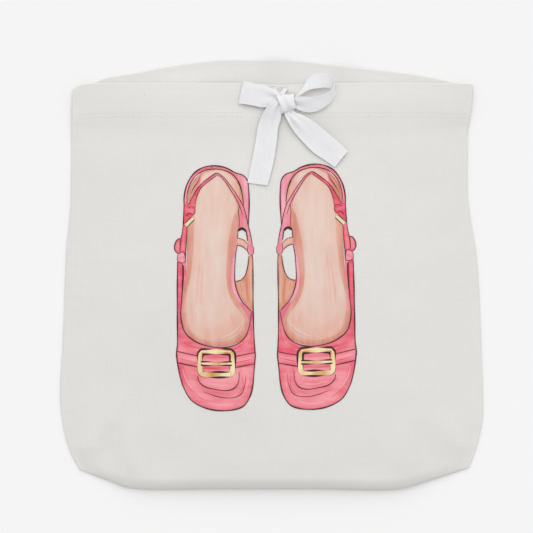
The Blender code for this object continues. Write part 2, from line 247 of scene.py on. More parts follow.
def front_height(x, y):
    """Height of the front's outer face over a place."""
    u, v = shares(x, y, FRONT_RIM)
    high = MIDDLE_LOFT - (MIDDLE_LOFT - np.where(v > 0.5, RIM_LOFT, FOOT_LOFT)) * (2 * v - 1) ** 2
    curl = np.sqrt(1 - (1 - np.clip(v / FOOT_SHARE, 0, 1)) ** 2)
    crown = np.clip(1 - np.abs(u) ** CROWN_POWER, 0, 1) ** CROWN_ROUND
    seam_gap = (1 - np.abs(u)) * HALF_SPAN
    body = ramp(seam_gap, 0, 0.012) * ramp(v, 0, 0.08)
    depth = through(FRONT_RIM, x) - y
    rows = sum(bump_at(depth, row, 0.0007) for row in STITCH_ROWS)
    hem = 0.00022 * (1 - ramp(depth, STITCH_ROWS[0] - 0.003, STITCH_ROWS[1] + 0.003)) - 0.00009 * rows
    ribbon = 0.00035 * bump_at(depth, 0.0115, 0.0075) * bump_at(np.abs(u), 0.3, 0.5)
    relief = creases(x, y) + gathers(x, y) + corner_folds(x, y)
    calm = 1 - 0.45 * ramp(0.02 - depth, 0, 0.02)
    return (
        seam_height(v) + CLOTH / 2 + high * curl * crown + body * calm * relief
        + ramp(v, 0, 0.08) * puckers(y, seam_gap) * ramp(seam_gap, 0, 0.002) + body * (hem + ribbon)
    )


def back_height(x, y):
    """Height of the back's outer face, which faces down, over a place."""
    u, v = shares(x, y, BACK_RIM)
    depth = through(BACK_RIM, x) - y
    sides = ramp(np.abs(u), 0.90, 1.0) ** 1.4
    foot = (1 - ramp(v, 0, 0.05)) ** 1.4
    lifted = bump_at(x, 0.004, 0.013) + 0.9 * bump_at(x, 0.056, 0.011)
    rim = ramp(0.045 - depth, 0, 0.028) * (1 - 0.90 * (1 - lifted) * ramp(0.018 - depth, 0, 0.018))
    loose = BACK_RIM_Z * rim * (1 + 0.2 * cloud(x, y, 0.045, 31.0)) * ramp(1 - np.abs(u), 0, 0.10)
    return BACK_Z + (seam_height(v) - CLOTH / 2 - BACK_Z) * np.maximum(sides, foot) + loose


def columns(v, count_inner, count_outer):
    """The x of each column at a share v: straight in the middle, and fanned out to each side seam."""
    y = Y_FOOT + v * (Y_RIM - Y_FOOT)
    inner = np.linspace(-CUT_X, CUT_X, count_inner)
    t = np.linspace(0, 1, count_outer)
    outward = 0.35 * t + 0.65 * (1 - (1 - t) ** 1.7)
    left = -CUT_X - outward * (through(LEFT_SIDE, y) - CUT_X)
    right = CUT_X + outward * (through(RIGHT_SIDE, y) - CUT_X)
    return np.concatenate([left[:0:-1], inner, right[1:]])


def sheet_rows(rim, height, fold_side):
    """A panel with its rim turned in, as rows of points: the panel, the fold, and the hem.

    fold_side is -1 where the hem lies under the panel, and 1 where it lies over it.
    """
    t = np.linspace(0, 1, ROWS)
    steps = 0.30 * t + 0.70 * (0.5 - 0.5 * np.cos(math.pi * t))
    rows = []
    for v in steps:
        x = columns(v, INNER, OUTER)
        low, high = through(FOOT_EDGE, x), through(rim, x) - FOLD
        y = low + v * (high - low)
        rows.append(np.stack([x, y, height(x, y)], axis=-1))
    edge = rows[-1]
    radius = fold_radius(edge[:, 0])
    for angle in np.linspace(0, math.pi, 8)[1:-1]:
        x = edge[:, 0]
        y = edge[:, 1] + radius * math.sin(angle)
        z = edge[:, 2] + fold_side * radius * (1 - math.cos(angle))
        rows.append(np.stack([x, y, z], axis=-1))
    for share in np.linspace(0, 1, 13):
        y = edge[:, 1] - share * HEM_DEPTH
        inset = half_width(y, edge[:, 0]) - 0.0007 * min(share * 6, 1)
        x = edge[:, 0] * np.minimum(1, inset / half_width(Y_RIM, edge[:, 0]))
        z = height(x, y) + fold_side * 2 * radius
        rows.append(np.stack([x, y, z], axis=-1))
    return np.array(rows)


def fold_radius(x):
    """The turned-in edge is pressed flatter toward the side seams."""
    return FLAT_FOLD + (FOLD - FLAT_FOLD) * ramp(1 - np.abs(x) / HALF_SPAN, 0, 0.12)


def grid_normals(points):
    """Unit normals of a grid of points."""
    across, along = np.gradient(points, axis=1), np.gradient(points, axis=0)
    out = np.cross(across, along)
    return out / np.maximum(np.linalg.norm(out, axis=-1, keepdims=True), 1e-12)


def shell(name, points, normals, material, thick=CLOTH):
    """A closed sheet: the grid of points is its outer face, and the inner one lies a thickness behind it."""
    rows, cols = points.shape[:2]
    index = np.arange(rows * cols).reshape(rows, cols)
    quads = np.stack([index[:-1, :-1], index[:-1, 1:], index[1:, 1:], index[1:, :-1]], -1).reshape(-1, 4)
    ring = np.concatenate([index[0, :-1], index[:-1, -1], index[-1, :0:-1], index[:0:-1, 0]])
    after = np.roll(ring, -1)
    behind = rows * cols
    rims = np.stack([ring, ring + behind, after + behind, after], -1)
    faces = np.concatenate([quads, quads[:, ::-1] + behind, rims])
    verts = np.concatenate([points.reshape(-1, 3), (points - thick * normals).reshape(-1, 3)])
    flat = normals.reshape(-1, 3)
    corner_normals = np.concatenate([flat, -flat])[faces.reshape(-1)]
    side = verts[rims[:, 3]] - verts[rims[:, 0]]
    down = verts[rims[:, 1]] - verts[rims[:, 0]]
    rim_normals = np.cross(down, side)
    rim_normals /= np.maximum(np.linalg.norm(rim_normals, axis=-1, keepdims=True), 1e-12)
    corner_normals[-4 * len(rims):] = np.repeat(rim_normals, 4, axis=0)
    mesh = smooth_mesh(name, verts.tolist(), faces.tolist())
    mesh.normals_split_custom_set(corner_normals.tolist())
    return new_object(name, mesh, material)


# ---------------------------------------------------------------- pieces baked in place
def follow_mouth(obj, region):
    """Bakes a piece's place into its mesh, the same for every region."""
    if region == "centre":
        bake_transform(obj)
        return
    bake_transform(obj)


# ---------------------------------------------------------------- materials
def node(tree, kind, inputs=None, **settings):
    """A shader node with its settings, and with each input linked or set."""
    made = tree.nodes.new(kind)
    for name, value in settings.items():
        setattr(made, name, value)
    for name, value in (inputs or {}).items():
        if isinstance(value, bpy.types.NodeSocket):
            tree.links.new(value, made.inputs[name])
        else:
            made.inputs[name].default_value = value
    return made


def maths(tree, operation, a, b=0.0):
    """One step of arithmetic on values or sockets."""
    return node(tree, "ShaderNodeMath", {0: a, 1: b}, operation=operation).outputs[0]


def mixed(tree, share, a, b):
    """A colour between two, through the mix node's sockets for colours."""
    return node(tree, "ShaderNodeMix", {0: share, 6: a, 7: b}, data_type="RGBA").outputs[2]


def spread_noise(tree, place, scale, stretch=(1, 1, 1), detail=2.0):
    """Noise over a place, drawn out where stretch is less than 1."""
    mapped = node(tree, "ShaderNodeMapping", {"Vector": place, "Scale": stretch}).outputs[0]
    return node(tree, "ShaderNodeTexNoise", {"Vector": mapped, "Scale": scale, "Detail": detail}).outputs[0]


def levels(tree, value, low, high, to_low=0.0, to_high=1.0):
    """A value moved from one range to another, and held at its ends."""
    names = {"Value": value, "From Min": low, "From Max": high, "To Min": to_low, "To Max": to_high}
    return node(tree, "ShaderNodeMapRange", names).outputs[0]


def weave(tree, place, pitch, slub):
    """Height of a plain weave whose threads swell and wander, and the swelling of each set of threads."""
    wander = spread_noise(tree, place, 60, detail=1.0)
    parts = node(tree, "ShaderNodeSeparateXYZ", {0: place}).outputs
    shift = maths(tree, "MULTIPLY", wander, 14.0)
    turn = math.pi / pitch
    x = maths(tree, "SINE", maths(tree, "ADD", maths(tree, "MULTIPLY", parts[0], turn), shift))
    y = maths(tree, "SINE", maths(tree, "ADD", maths(tree, "MULTIPLY", parts[1], turn), shift))
    over = levels(tree, maths(tree, "MULTIPLY", x, y), -1, 1)
    thick_x = spread_noise(tree, place, 900, (0.06, 1, 1), 2.0)
    thick_y = spread_noise(tree, place, 900, (1, 0.06, 1), 2.0)
    threads = maths(tree, "MULTIPLY", maths(tree, "ADD", thick_x, thick_y), slub)
    return maths(tree, "ADD", over, threads), thick_x, thick_y


def new_material(name, roughness, specular):
    """A material with its nodes and its shader."""
    material = bpy.data.materials.new(name)
    material.use_nodes = True
    tree = material.node_tree
    shader = tree.nodes["Principled BSDF"]
    shader.inputs["Roughness"].default_value = roughness
    shader.inputs["Specular IOR Level"].default_value = specular
    return material, tree, shader


def emboss(tree, shader, height, depth, strength):
    """Relief in a material, from a height of 0 to 1."""
    relief = node(tree, "ShaderNodeBump", {"Height": height, "Distance": depth, "Strength": strength})
    tree.links.new(relief.outputs[0], shader.inputs["Normal"])


def tinted(colour, share):
    """A colour made lighter by a share, or darker where it is negative."""
    return (*(min(c * (1 + share), 1) for c in colour), 1)


def cloth_material(name, colour, pitch, slub, depth, roughness, mottle, sheen):
    """Woven cloth: a weave in its relief, uneven threads, and a colour that drifts a little."""
    material, tree, shader = new_material(name, roughness, 0.25)
    place = node(tree, "ShaderNodeTexCoord").outputs["Object"]
    height, thick_x, thick_y = weave(tree, place, pitch, slub)
    drift = levels(tree, spread_noise(tree, place, 16, detail=3.0), 0.3, 0.7)
    streaks = levels(tree, maths(tree, "ADD", thick_x, thick_y), 0.75, 1.25)
    light = tinted(colour, 0.6 * mottle)
    clouds = mixed(tree, drift, tinted(colour, -mottle), light)
    threads = mixed(tree, streaks, tinted(colour, -1.3 * mottle), light)
    base = mixed(tree, 0.5, clouds, threads)
    fleck = node(tree, "ShaderNodeTexVoronoi", {"Vector": place, "Scale": 55.0}).outputs["Distance"]
    speck = levels(tree, fleck, 0.015, 0.035, 1.0, 0.0)
    rare = levels(tree, spread_noise(tree, place, 37, detail=0.0), 0.60, 0.66)
    fleck_share = maths(tree, "MULTIPLY", maths(tree, "MULTIPLY", speck, rare), 0.35)
    base = mixed(tree, fleck_share, base, FLECK_COLOUR)
    tree.links.new(base, shader.inputs["Base Color"])
    tree.links.new(levels(tree, height, 0, 1.6, roughness, roughness - 0.12), shader.inputs["Roughness"])
    emboss(tree, shader, height, depth, 0.6)
    shader.inputs["Sheen Weight"].default_value = sheen
    shader.inputs["Sheen Roughness"].default_value = 0.6
    return material


def let_light_through(material, share, reach):
    """Thin cloth glows a little where light falls on its far side."""
    inputs = material.node_tree.nodes["Principled BSDF"].inputs
    inputs["Subsurface Weight"].default_value = share
    inputs["Subsurface Radius"].default_value = (1.0, 1.0, 1.0)
    inputs["Subsurface Scale"].default_value = reach


def srgb(red, green, blue):
    """A colour on the 0 to 255 display scale, none of it near black, as linear light."""
    return tuple(((c / 255 + 0.055) / 1.055) ** 2.4 for c in (red, green, blue))


def ink_material(name, light, deep, strokes_run):
    """Ink on canvas, brushed from a light tint to a deep one, with the weave showing through."""
    material, tree, shader = new_material(name, 0.88, 0.25)
    place = node(tree, "ShaderNodeTexCoord").outputs["Object"]
    height, _, _ = weave(tree, place, CANVAS_PITCH, CANVAS_SLUB)
    strokes = spread_noise(tree, place, 210, strokes_run, 3.0)
    wash = spread_noise(tree, place, 48, detail=2.0)
    shade = node(tree, "ShaderNodeAttribute", attribute_name="shade").outputs["Fac"]
    brushed = levels(tree, strokes, 0.35, 0.68, -0.16, 0.16)
    share = maths(tree, "ADD", brushed, levels(tree, wash, 0.3, 0.7, -0.14, 0.14))
    share = maths(tree, "ADD", share, shade)
    share = node(tree, "ShaderNodeClamp", {0: share}).outputs[0]
    grain = levels(tree, height, 0.1, 1.2, 0.10, 0.0)
    base = mixed(tree, share, (*light, 1), (*deep, 1))
    base = mixed(tree, grain, base, (*CANVAS_COLOUR, 1))
    tree.links.new(base, shader.inputs["Base Color"])
    emboss(tree, shader, height, 0.00012, 0.5)
    return material


# ---------------------------------------------------------------- canvas
def front(material):
    """The front panel, in a middle and two sides."""
    points = sheet_rows(FRONT_RIM, front_height, -1)
    normals = grid_normals(points)
    cuts = {"left": (0, OUTER), "centre": (OUTER - 1, OUTER + INNER - 1), "right": (OUTER + INNER - 2, None)}
    hidden = {
        "left": ("front_side_left",),
        "centre": ("front_panel_lower", "front_panel_upper", "front_hem", "bottom_gusset"),
        "right": ("front_side_right",),
    }
    for region, (start, stop) in cuts.items():
        part = shell(f"canvas_front_{region}", points[:, start:stop], normals[:, start:stop], material)
        follow_mouth(part, region)
        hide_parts(*hidden[region])


def back(material):
    """The back panel, whose hem lies on its inner side."""
    points = sheet_rows(BACK_RIM, back_height, 1)[:, ::-1]
    part = shell("canvas_back", points, grid_normals(points), material)
    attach(part, "bag")
    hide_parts("back_panel", "back_hem")


def seam_allowances(material, thread):
    """The folded edges of the cloth inside the seams, each with its row of overcast thread."""
    routes = {
        "left_side_seam": [(-1, v) for v in np.linspace(0.05, 0.985, 90)],
        "right_side_seam": [(1, v) for v in np.linspace(0.05, 0.985, 90)],
        "left_corner_seam": [(u, 0) for u in np.linspace(-0.965, -0.735, 16)],
        "right_corner_seam": [(u, 0) for u in np.linspace(0.735, 0.965, 16)],
        "bottom_seam": [(u, 0) for u in np.linspace(-0.66, 0.66, 70)],
    }
    for name, route in routes.items():
        u, v = np.array(route).T
        y_level = Y_FOOT + v * (Y_RIM - Y_FOOT)
        x = u * half_width(y_level, u)
        low = through(FOOT_EDGE, x)
        y = low + v * (through(FRONT_RIM, x) - low)
        inward = np.array([-np.sign(u[0]), 0.0]) if "side" in name else np.array([0.0, 1.0])
        rows = []
        for share in np.linspace(0, 1, 5):
            wave = -0.00020 * (1 + np.sin(np.arange(len(x)) * 0.9)) * share
            reach = ALLOWANCE_START + ALLOWANCE_WIDTH * share
            at_x, at_y = x + inward[0] * reach, y + inward[1] * reach
            rows.append(np.stack([at_x, at_y, front_height(at_x, at_y) - CLOTH - 0.0004 + wave], -1))
        points = np.array(rows)
        if inward[0] > 0 or (inward[1] > 0 and u[0] > u[-1]):
            points = points[:, ::-1]
        strip = shell(f"inside_{name}", points, grid_normals(points), material)
        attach(strip, "bag")
        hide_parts(name)
        route = [p - np.array([0, 0, 0.0007]) for p in points[-2:].mean(0)]
        overcast = tube(f"overcast_{name}", zigzag(route, inward, 0.0016), 0.00016, thread, 4)
        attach(overcast, "bag")


def zigzag(route, inward, width):
    """Points that cross a route from side to side."""
    made = []
    for k, p in enumerate(route):
        side = 0.5 * width * (1 if k % 2 else -1)
        made.append((p[0] + inward[0] * side, p[1] + inward[1] * side, p[2]))
    return made


# ---------------------------------------------------------------- thread
def strand_faces(first, rings, sides):
    """Faces of a strand whose rings of points start at an index, with a cap on each end."""
    faces = []
    for k in range(first, first + (rings - 1) * sides, sides):
        for a in range(sides):
            b = (a + 1) % sides
            faces.append((k + a, k + b, k + b + sides, k + a + sides))
    last = first + (rings - 1) * sides
    return faces + [tuple(range(first, first + sides))[::-1], tuple(range(last, last + sides))]


def tube(name, points, radius, material, sides):
    """A thin round strand along points, closed at its ends."""
    points = np.array(points, float)
    along = np.gradient(points, axis=0)
    along /= np.maximum(np.linalg.norm(along, axis=1, keepdims=True), 1e-12)
    up = np.cross(along, np.cross([0, 0, 1.0], along))
    up /= np.maximum(np.linalg.norm(up, axis=1, keepdims=True), 1e-12)
    across = np.cross(along, up)
    angles = np.linspace(0, 2 * math.pi, sides, endpoint=False)
    rings = [points + radius * (math.cos(a) * across + math.sin(a) * up) for a in angles]
    verts = np.stack(rings, 1).reshape(-1, 3)
    mesh = smooth_mesh(name, verts.tolist(), strand_faces(0, len(points), sides))
    return new_object(name, mesh, material)


def stitches(name, places, rise, material):
    """Separate machine stitches, each from one place to the next, as short strands with sunk ends."""
    sides, up = 6, Vector((0, 0, 1))
    # Each station is (share of the length, share of the thickness, lift in thicknesses).
    half = ((0.0, 0.35, -1.6), (0.18, 0.85, -0.2))
    stations = (*half, (0.5, 1.0, 0.25), *((1 - share, thick, lift) for share, thick, lift in half[::-1]))
    verts, faces = [], []
    for start, end in places:
        start, end = Vector(start), Vector(end)
        across = (end - start).cross(up).normalized()
        faces += strand_faces(len(verts), len(stations), sides)
        for share, thick, lift in stations:
            centre = start.lerp(end, share) + (rise + lift * THREAD) * up
            for a in (2 * math.pi * k / sides for k in range(sides)):
                verts.append(centre + THREAD * thick * (math.cos(a) * across + math.sin(a) * up))
    return new_object(name, smooth_mesh(name, [tuple(v) for v in verts], faces), material)


def stitch_places(height, rim, start, stop, drop=0.0):
    """The two ends of each stitch in the rows below a rim."""
    places = []
    for row in STITCH_ROWS:
        for x in np.arange(start, stop, STITCH_STEP):
            ends = np.array([x, x + STITCH_LENGTH])
            y = through(rim, ends) - row + drop
            places.append(np.stack([ends, y, height(ends, y)], -1))
    return places


def hem_stitching(thread):
    """Two rows of stitches on the front's casing, and two on the back's hem."""
    spans = {"left": (-0.1455, -CUT_X), "centre": (-CUT_X, CUT_X), "right": (CUT_X, 0.1460)}
    for region, (start, stop) in spans.items():
        places = stitch_places(front_height, FRONT_RIM, start + 0.0004, stop - STITCH_LENGTH)
        part = stitches(f"front_stitches_{region}", places, 0.00012, thread)
        follow_mouth(part, region)
        if region == "centre":
            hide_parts("front_hem_stitching")
    places = stitch_places(hem_top, BACK_RIM, -0.1450, 0.1450, 0.0012)
    part = stitches("back_stitches", places, 0.00010, thread)
    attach(part, "bag")
    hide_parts("back_hem_stitching")


def hem_top(x, y):
    """Height of the back's hem, which is folded over the panel."""
    return back_height(x, y) + 2 * fold_radius(x)


# ---------------------------------------------------------------- ribbon
def rounded_slopes(places, values):
    """A slope at each place of a table that gives a fuller curve than calm_slopes."""
    return np.gradient(values, places)


def smooth_stations(stations, steps):
    """Rows of numbers on a smooth curve through the given rows."""
    stations = np.array(stations, float)
    gaps = np.linalg.norm(np.diff(stations[:, :3] + stations[:, 3:6], axis=0), axis=1)
    at = np.concatenate([[0], np.cumsum(np.maximum(gaps, 1e-5))])
    wanted = np.linspace(0, at[-1], steps)
    tables = (list(zip(at, column, strict=True)) for column in stations.T)
    return np.stack([through(table, wanted, rounded_slopes) for table in tables], -1)


def on_front(x, y, lift):
    """A place on the bow, from x, y and its lift over the front in millimetres."""
    x, y, lift = x / 1000, y / 1000 - BOW_DROP, lift / 1000
    return (x, y, float(front_height(np.array([x]), np.array([y]))[0]) + lift)


def ribbon_strip(name, stations, material, steps, cup=0.0, ripple=0.0, seed=0.0, ridges=()):
    """A ribbon through stations of (one edge, other edge), each a place for on_front.

    cup bows it across. Each ridge is (share across, width, height, share along where it is highest, reach).
    """
    edges = [(*on_front(*left), *on_front(*right)) for left, right in stations]
    rows = smooth_stations(edges, steps)
    left, right = rows[:, :3], rows[:, 3:6]
    across = np.linspace(0, 1, 17)
    points = left[:, None, :] * (1 - across)[None, :, None] + right[:, None, :] * across[None, :, None]
    normals = grid_normals(points)
    bow = cup * np.sin(math.pi * across)
    share = np.linspace(0, 1, steps)
    wave = ripple * np.array([[noise.noise((4 * s, 1.5 * a, seed)) for a in across] for s in share])
    for place, width, high, middle, reach in ridges:
        wave = wave + high * np.outer(bump_at(share, middle, reach), bump_at(across, place, width))
    points = points + normals * (bow[None, :, None] + wave[..., None])
    points = points[:, ::-1] if normals[:, :, 2].mean() < 0 else points
    return shell(name, points, grid_normals(points), material, RIBBON)


def bow_ribbon(name, body, stations, bend, length, held, material, **looks):
    """A loop or an end of the bow, which leaves the knot."""
    part = ribbon_strip(f"bow_{name}", stations, material, **looks)
    start, end = (on_front(*place, 2.0) for place in bend)
    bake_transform(part)
    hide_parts(f"ribbon_{name}")


def bow(material):
    """The knot, its two loops and its two ends, each along its own route on the front."""
    # The near strand of the open loop leans out from the knot, and turns back as the far strand.
    bow_ribbon("loop_right", "right_loop", [
        ((15, 126.2, 2.6), (15.8, 133.5, 4.4)), ((21.5, 123.4, 2.4), (22.2, 133.8, 5.6)),
        ((30, 122.2, 2.2), (30.6, 133.4, 6.6)), ((38.8, 125.6, 2.2), (39.6, 135.8, 7.2)),
        ((45, 131.2, 2.2), (45.6, 141, 7.8)), ((47.4, 137.4, 2.8), (46, 147.2, 7.6)),
        ((42.8, 140.3, 4), (40.8, 150.6, 6.2)), ((35, 140.2, 5), (33.5, 151.3, 5.4)),
        ((28, 138.8, 5), (27.2, 147.2, 5.2)), ((23.2, 136, 4.6), (23, 140.2, 5)),
        ((17.8, 131.2, 3.4), (18, 134, 4.8)),
    ], ((17.5, 131), (26, 133.5)), 0.058, "folded", material, steps=110, ripple=0.0005, seed=3.3, ridges=(
        (0.3, 0.16, 0.0008, 0.0, 0.13), (0.7, 0.14, -0.0007, 0.02, 0.12), (0.5, 0.2, 0.0006, 1.0, 0.15),
    ))
    # The flattened loop: its upper strand, the fold at its tip, and its lower strand beneath.
    bow_ribbon("loop_left", "left_loop", [
        ((7, 129, 3.4), (7, 134, 4.4)), ((2.2, 127, 3.2), (2.6, 138, 4.4)),
        ((-6, 125.8, 2.8), (-4.2, 142.2, 3.8)), ((-14, 127.2, 2.6), (-12, 143.7, 3.2)),
        ((-20.5, 128.4, 2.4), (-17.5, 145, 2.8)), ((-24.6, 128.8, 1.7), (-21.3, 145.9, 2)),
        ((-20.5, 129.1, 1), (-17.5, 145, 1.1)), ((-14, 128.1, 0.9), (-12, 142.8, 1)),
        ((-6, 126.7, 1), (-4, 140, 1.2)), ((4, 127, 1.6), (5, 134.5, 1.6)),
    ], ((6, 131), (-3, 133)), 0.062, "folded", material, steps=100, ripple=0.0006, seed=8.8, ridges=(
        (0.25, 0.12, 0.0009, 0.04, 0.16), (0.55, 0.10, -0.0010, 0.04, 0.14),
        (0.82, 0.10, 0.0007, 0.03, 0.16),
    ))
    bow_ribbon("tail_left", "left_tail", [
        ((3.5, 131.2, 5.2), (8.8, 129.6, 5.2)), ((-1, 128.5, 6), (8, 126.2, 5)),
        ((-5, 123.5, 5), (7.4, 122.5, 4)), ((-8, 118, 3.4), (6.9, 117.2, 3.4)),
        ((-9.9, 112.5, 2.4), (5.1, 111.2, 3)), ((-11.6, 102, 2), (3.8, 100.2, 2.8)),
        ((-13.8, 90, 1.8), (1.8, 87.2, 2.4)), ((-16, 79, 1.8), (-0.6, 76.6, 2)),
        ((-18, 69.7, 1.4), (-3, 67.6, 1.8)),
    ], ((8, 130), (2, 116)), 0.064, "laid", material, steps=100, ripple=0.0007, seed=1.7, ridges=(
        (0.70, 0.07, 0.0012, 0.16, 0.22), (0.90, 0.06, -0.0005, 0.18, 0.22),
        (0.30, 0.10, 0.0006, 0.05, 0.14),
    ))
    bow_ribbon("tail_right", "right_tail", [
        ((11, 126.8, 1.6), (15, 127.2, 1.8)), ((9.6, 121.8, 3), (17.6, 122.4, 3)),
        ((11.6, 116.5, 4), (22.8, 120.2, 3.2)), ((14.2, 111.8, 3.2), (28.5, 117.2, 3.4)),
        ((17.8, 106.4, 2.6), (33.7, 113.5, 3.6)), ((24, 99.4, 2.2), (39.5, 108.8, 3.4)),
        ((31.2, 92.2, 2), (45, 104, 3.2)), ((39.5, 86.6, 1.6), (50.8, 98.8, 3)),
        ((47, 81.2, 1.8), (56.7, 93.2, 3.2)),
    ], ((13, 127), (19, 113)), 0.062, "laid", material, steps=100, ripple=0.0007, seed=5.1, ridges=(
        (0.35, 0.09, -0.0011, 0.20, 0.14), (0.60, 0.10, 0.0008, 0.14, 0.16),
        (0.15, 0.08, 0.0006, 0.25, 0.16),
    ))
    knot(material, Vector(on_front(*KNOT, 3.0)))
    legs(material)


def knot(material, at):
    """The wrap round the middle of the bow: a band over a core, tucked under on both sides."""
    lean = math.radians(14)
    angle = np.radians(np.linspace(-32, 212, 15))[:, None]
    share = np.linspace(-1, 1, 13)[None, :]
    out, high = 0.0062 * np.cos(angle), 0.0038 * np.sin(angle)
    x = share * (0.0054 + 0.0010 * np.abs(np.cos(angle)))
    y = out * (1 - 0.12 * share)
    z = high * (1 - 0.10 * share**2) + 0.0005 * np.sin(share * 6 + 260 * out) + 0.0005 * np.cos(share * 1.4)
    turned = [x * math.cos(lean) - y * math.sin(lean), x * math.sin(lean) + y * math.cos(lean), z]
    points = np.stack(turned, -1) + np.array(at)
    if grid_normals(points)[7, 6, 2] < 0:
        points = points[:, ::-1]
    band = shell("bow_knot_band", points, grid_normals(points), material, 0.0005)
    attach(band, "mouth_front")

    core = bmesh.new()
    place = Matrix.Translation(at) @ Matrix.Rotation(lean, 4, "Z")
    half = Matrix.Diagonal((0.0060, 0.0066, 0.0029, 1))
    bmesh.ops.create_icosphere(core, subdivisions=4, radius=1, matrix=place @ half)
    for vert in core.verts:
        vert.co += 0.0003 * noise.noise(vert.co * 400) * (vert.co - at).normalized()
    mesh = bpy.data.meshes.new("bow_knot_core")
    core.to_mesh(mesh)
    core.free()
    mesh.shade_smooth()
    inner = new_object("bow_knot_core", mesh, material)
    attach(inner, "mouth_front")
    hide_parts("ribbon_knot")


def legs(material):
    """The two strands that come out of the casing and cross above the knot."""
    routes = {
        "left": [
            ((0.2, 140.8, -0.6), (2.4, 141.8, -0.6)), ((0.8, 139.6, 1.4), (3, 140.6, 1.6)),
            ((3.2, 136.4, 3.4), (5.6, 137.8, 3.6)), ((5.6, 133, 4.4), (8.4, 134.8, 4.4)),
            ((7.8, 130.6, 4), (10.6, 132.6, 4)),
        ],
        "right": [
            ((9.4, 141.4, -0.6), (11.6, 140.2, -0.6)), ((9, 140.2, 1.4), (11.2, 139, 1.4)),
            ((7, 137.6, 3), (9.6, 136.2, 3.2)), ((5.4, 135, 4), (8.2, 133.2, 4.2)),
        ],
    }
    for side, stations in routes.items():
        leg = ribbon_strip(f"bow_leg_{side}", stations, material, 30, cup=0.0006)
        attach(leg, "mouth_front")
        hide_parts(f"ribbon_leg_{side}")


def casing_ribbon(material):
    """The ribbon that runs unseen in the casing, in front and behind."""
    nodes = {"centre": ("ribbon_front_left", "ribbon_front_right"), "back": ("ribbon_back",)}
    spans = {"left": (-0.128, -CUT_X), "centre": (-CUT_X, CUT_X), "right": (CUT_X, 0.128)}
    spans["back"] = (-0.130, 0.130)
    for region, span in spans.items():
        behind = region == "back"
        height, rim, side = (back_height, BACK_RIM, 1) if behind else (front_height, FRONT_RIM, -1)
        x = np.linspace(*span, 90)
        rows = []
        for depth in np.linspace(CASING_TOP, CASING_TOP + RIBBON_WIDTH, 9):
            y = through(rim, x) - depth
            rows.append(np.stack([x, y, height(x, y) + side * (FOLD - RIBBON / 2)], -1))
        points = np.array(rows)[::-1]
        name = "ribbon_in_back" if behind else f"ribbon_in_front_{region}"
        part = shell(name, points, grid_normals(points), material, RIBBON)
        if behind:
            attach(part, "bag")
        else:
            follow_mouth(part, region)
        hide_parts(*nodes.get(region, ()))


def buttonholes(thread):
    """Stitched slits in the casing: a ring of close stitches round each."""
    for side, (x, y) in {"left": (1.1, 140.8), "right": (10.5, 140.2)}.items():
        places = []
        for angle in np.linspace(0, 2 * math.pi, 26, endpoint=False):
            out, up = math.cos(angle), math.sin(angle)
            ends = ((x + 1.6 * out, y + 1.0 * up), (x + 2.6 * out, y + 1.9 * up))
            places.append([on_front(*end, 0) for end in ends])
        ring = stitches(f"{side}_buttonhole_stitches", places, 0.00012, thread)
        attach(ring, "mouth_front")
        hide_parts(f"{side}_buttonhole")


# ---------------------------------------------------------------- print
# Each ink's light and deep tint, on the 0 to 255 display scale.
INKS = {
    "rose": ((247, 164, 172), (226, 80, 102)),
    "pink": ((244, 180, 190), (226, 112, 134)),
    "peach": ((235, 186, 170), (203, 124, 106)),
    "skin": ((229, 207, 195), (225, 173, 155)),
    "orange": ((232, 182, 160), (206, 124, 92)),
    "line": ((96, 36, 48), (44, 14, 24)),
    "gold": ((244, 228, 180), (206, 138, 58)),
    "cream": ((240, 234, 204), (214, 198, 150)),
}
# Each printed shoe: middle x, middle y, which way it faces, and its lean from the bag's length.
SHOES = {"left": (-0.0415, 0.0001, 1, 0.0), "right": (0.0325, 0.0013, -1, 0.0225)}
PRINT_SCALE = 0.988
LINE_WEIGHT = 1.14
INK_LIFT, LAYER_LIFT = 0.00007, 0.000035        # height of the lowest ink over the cloth, and between layers


def curve_through(points, closed, step):
    """Evenly close places along a smooth curve through a few points, in millimetres."""
    points = [np.array(p, float) for p in points]
    count = len(points)
    made = []
    for k in range(count if closed else count - 1):
        if closed:
            a, b, c, d = (points[(k + j) % count] for j in (-1, 0, 1, 2))
        else:
            a, b, c, d = points[max(k - 1, 0)], points[k], points[k + 1], points[min(k + 2, count - 1)]
        pieces = max(2, int(math.ceil(np.linalg.norm(c - b) / step)))
        for t in np.arange(pieces) / pieces:
            made.append(0.5 * (
                2 * b + (c - a) * t + (2 * a - 5 * b + 4 * c - d) * t**2 + (3 * b - a - 3 * c + d) * t**3
            ))
    if not closed:
        made.append(points[-1])
    return np.array(made)


def gap_to_path(places, path):
    """Distance from each place to the nearest point of a path."""
    return np.sqrt(((places[:, None, :] - path[None, :, :]) ** 2).sum(-1)).min(1)


def inside(places, outline):
    """Which places lie inside a closed outline."""
    x, y = places.T
    found = np.zeros(len(places), bool)
    for a, b in zip(outline, np.roll(outline, -1, axis=0), strict=True):
        if a[1] == b[1]:
            continue
        crosses = (a[1] > y) != (b[1] > y)
        found ^= crosses & (x < (b[0] - a[0]) * (y - a[1]) / (b[1] - a[1]) + a[0])
    return found


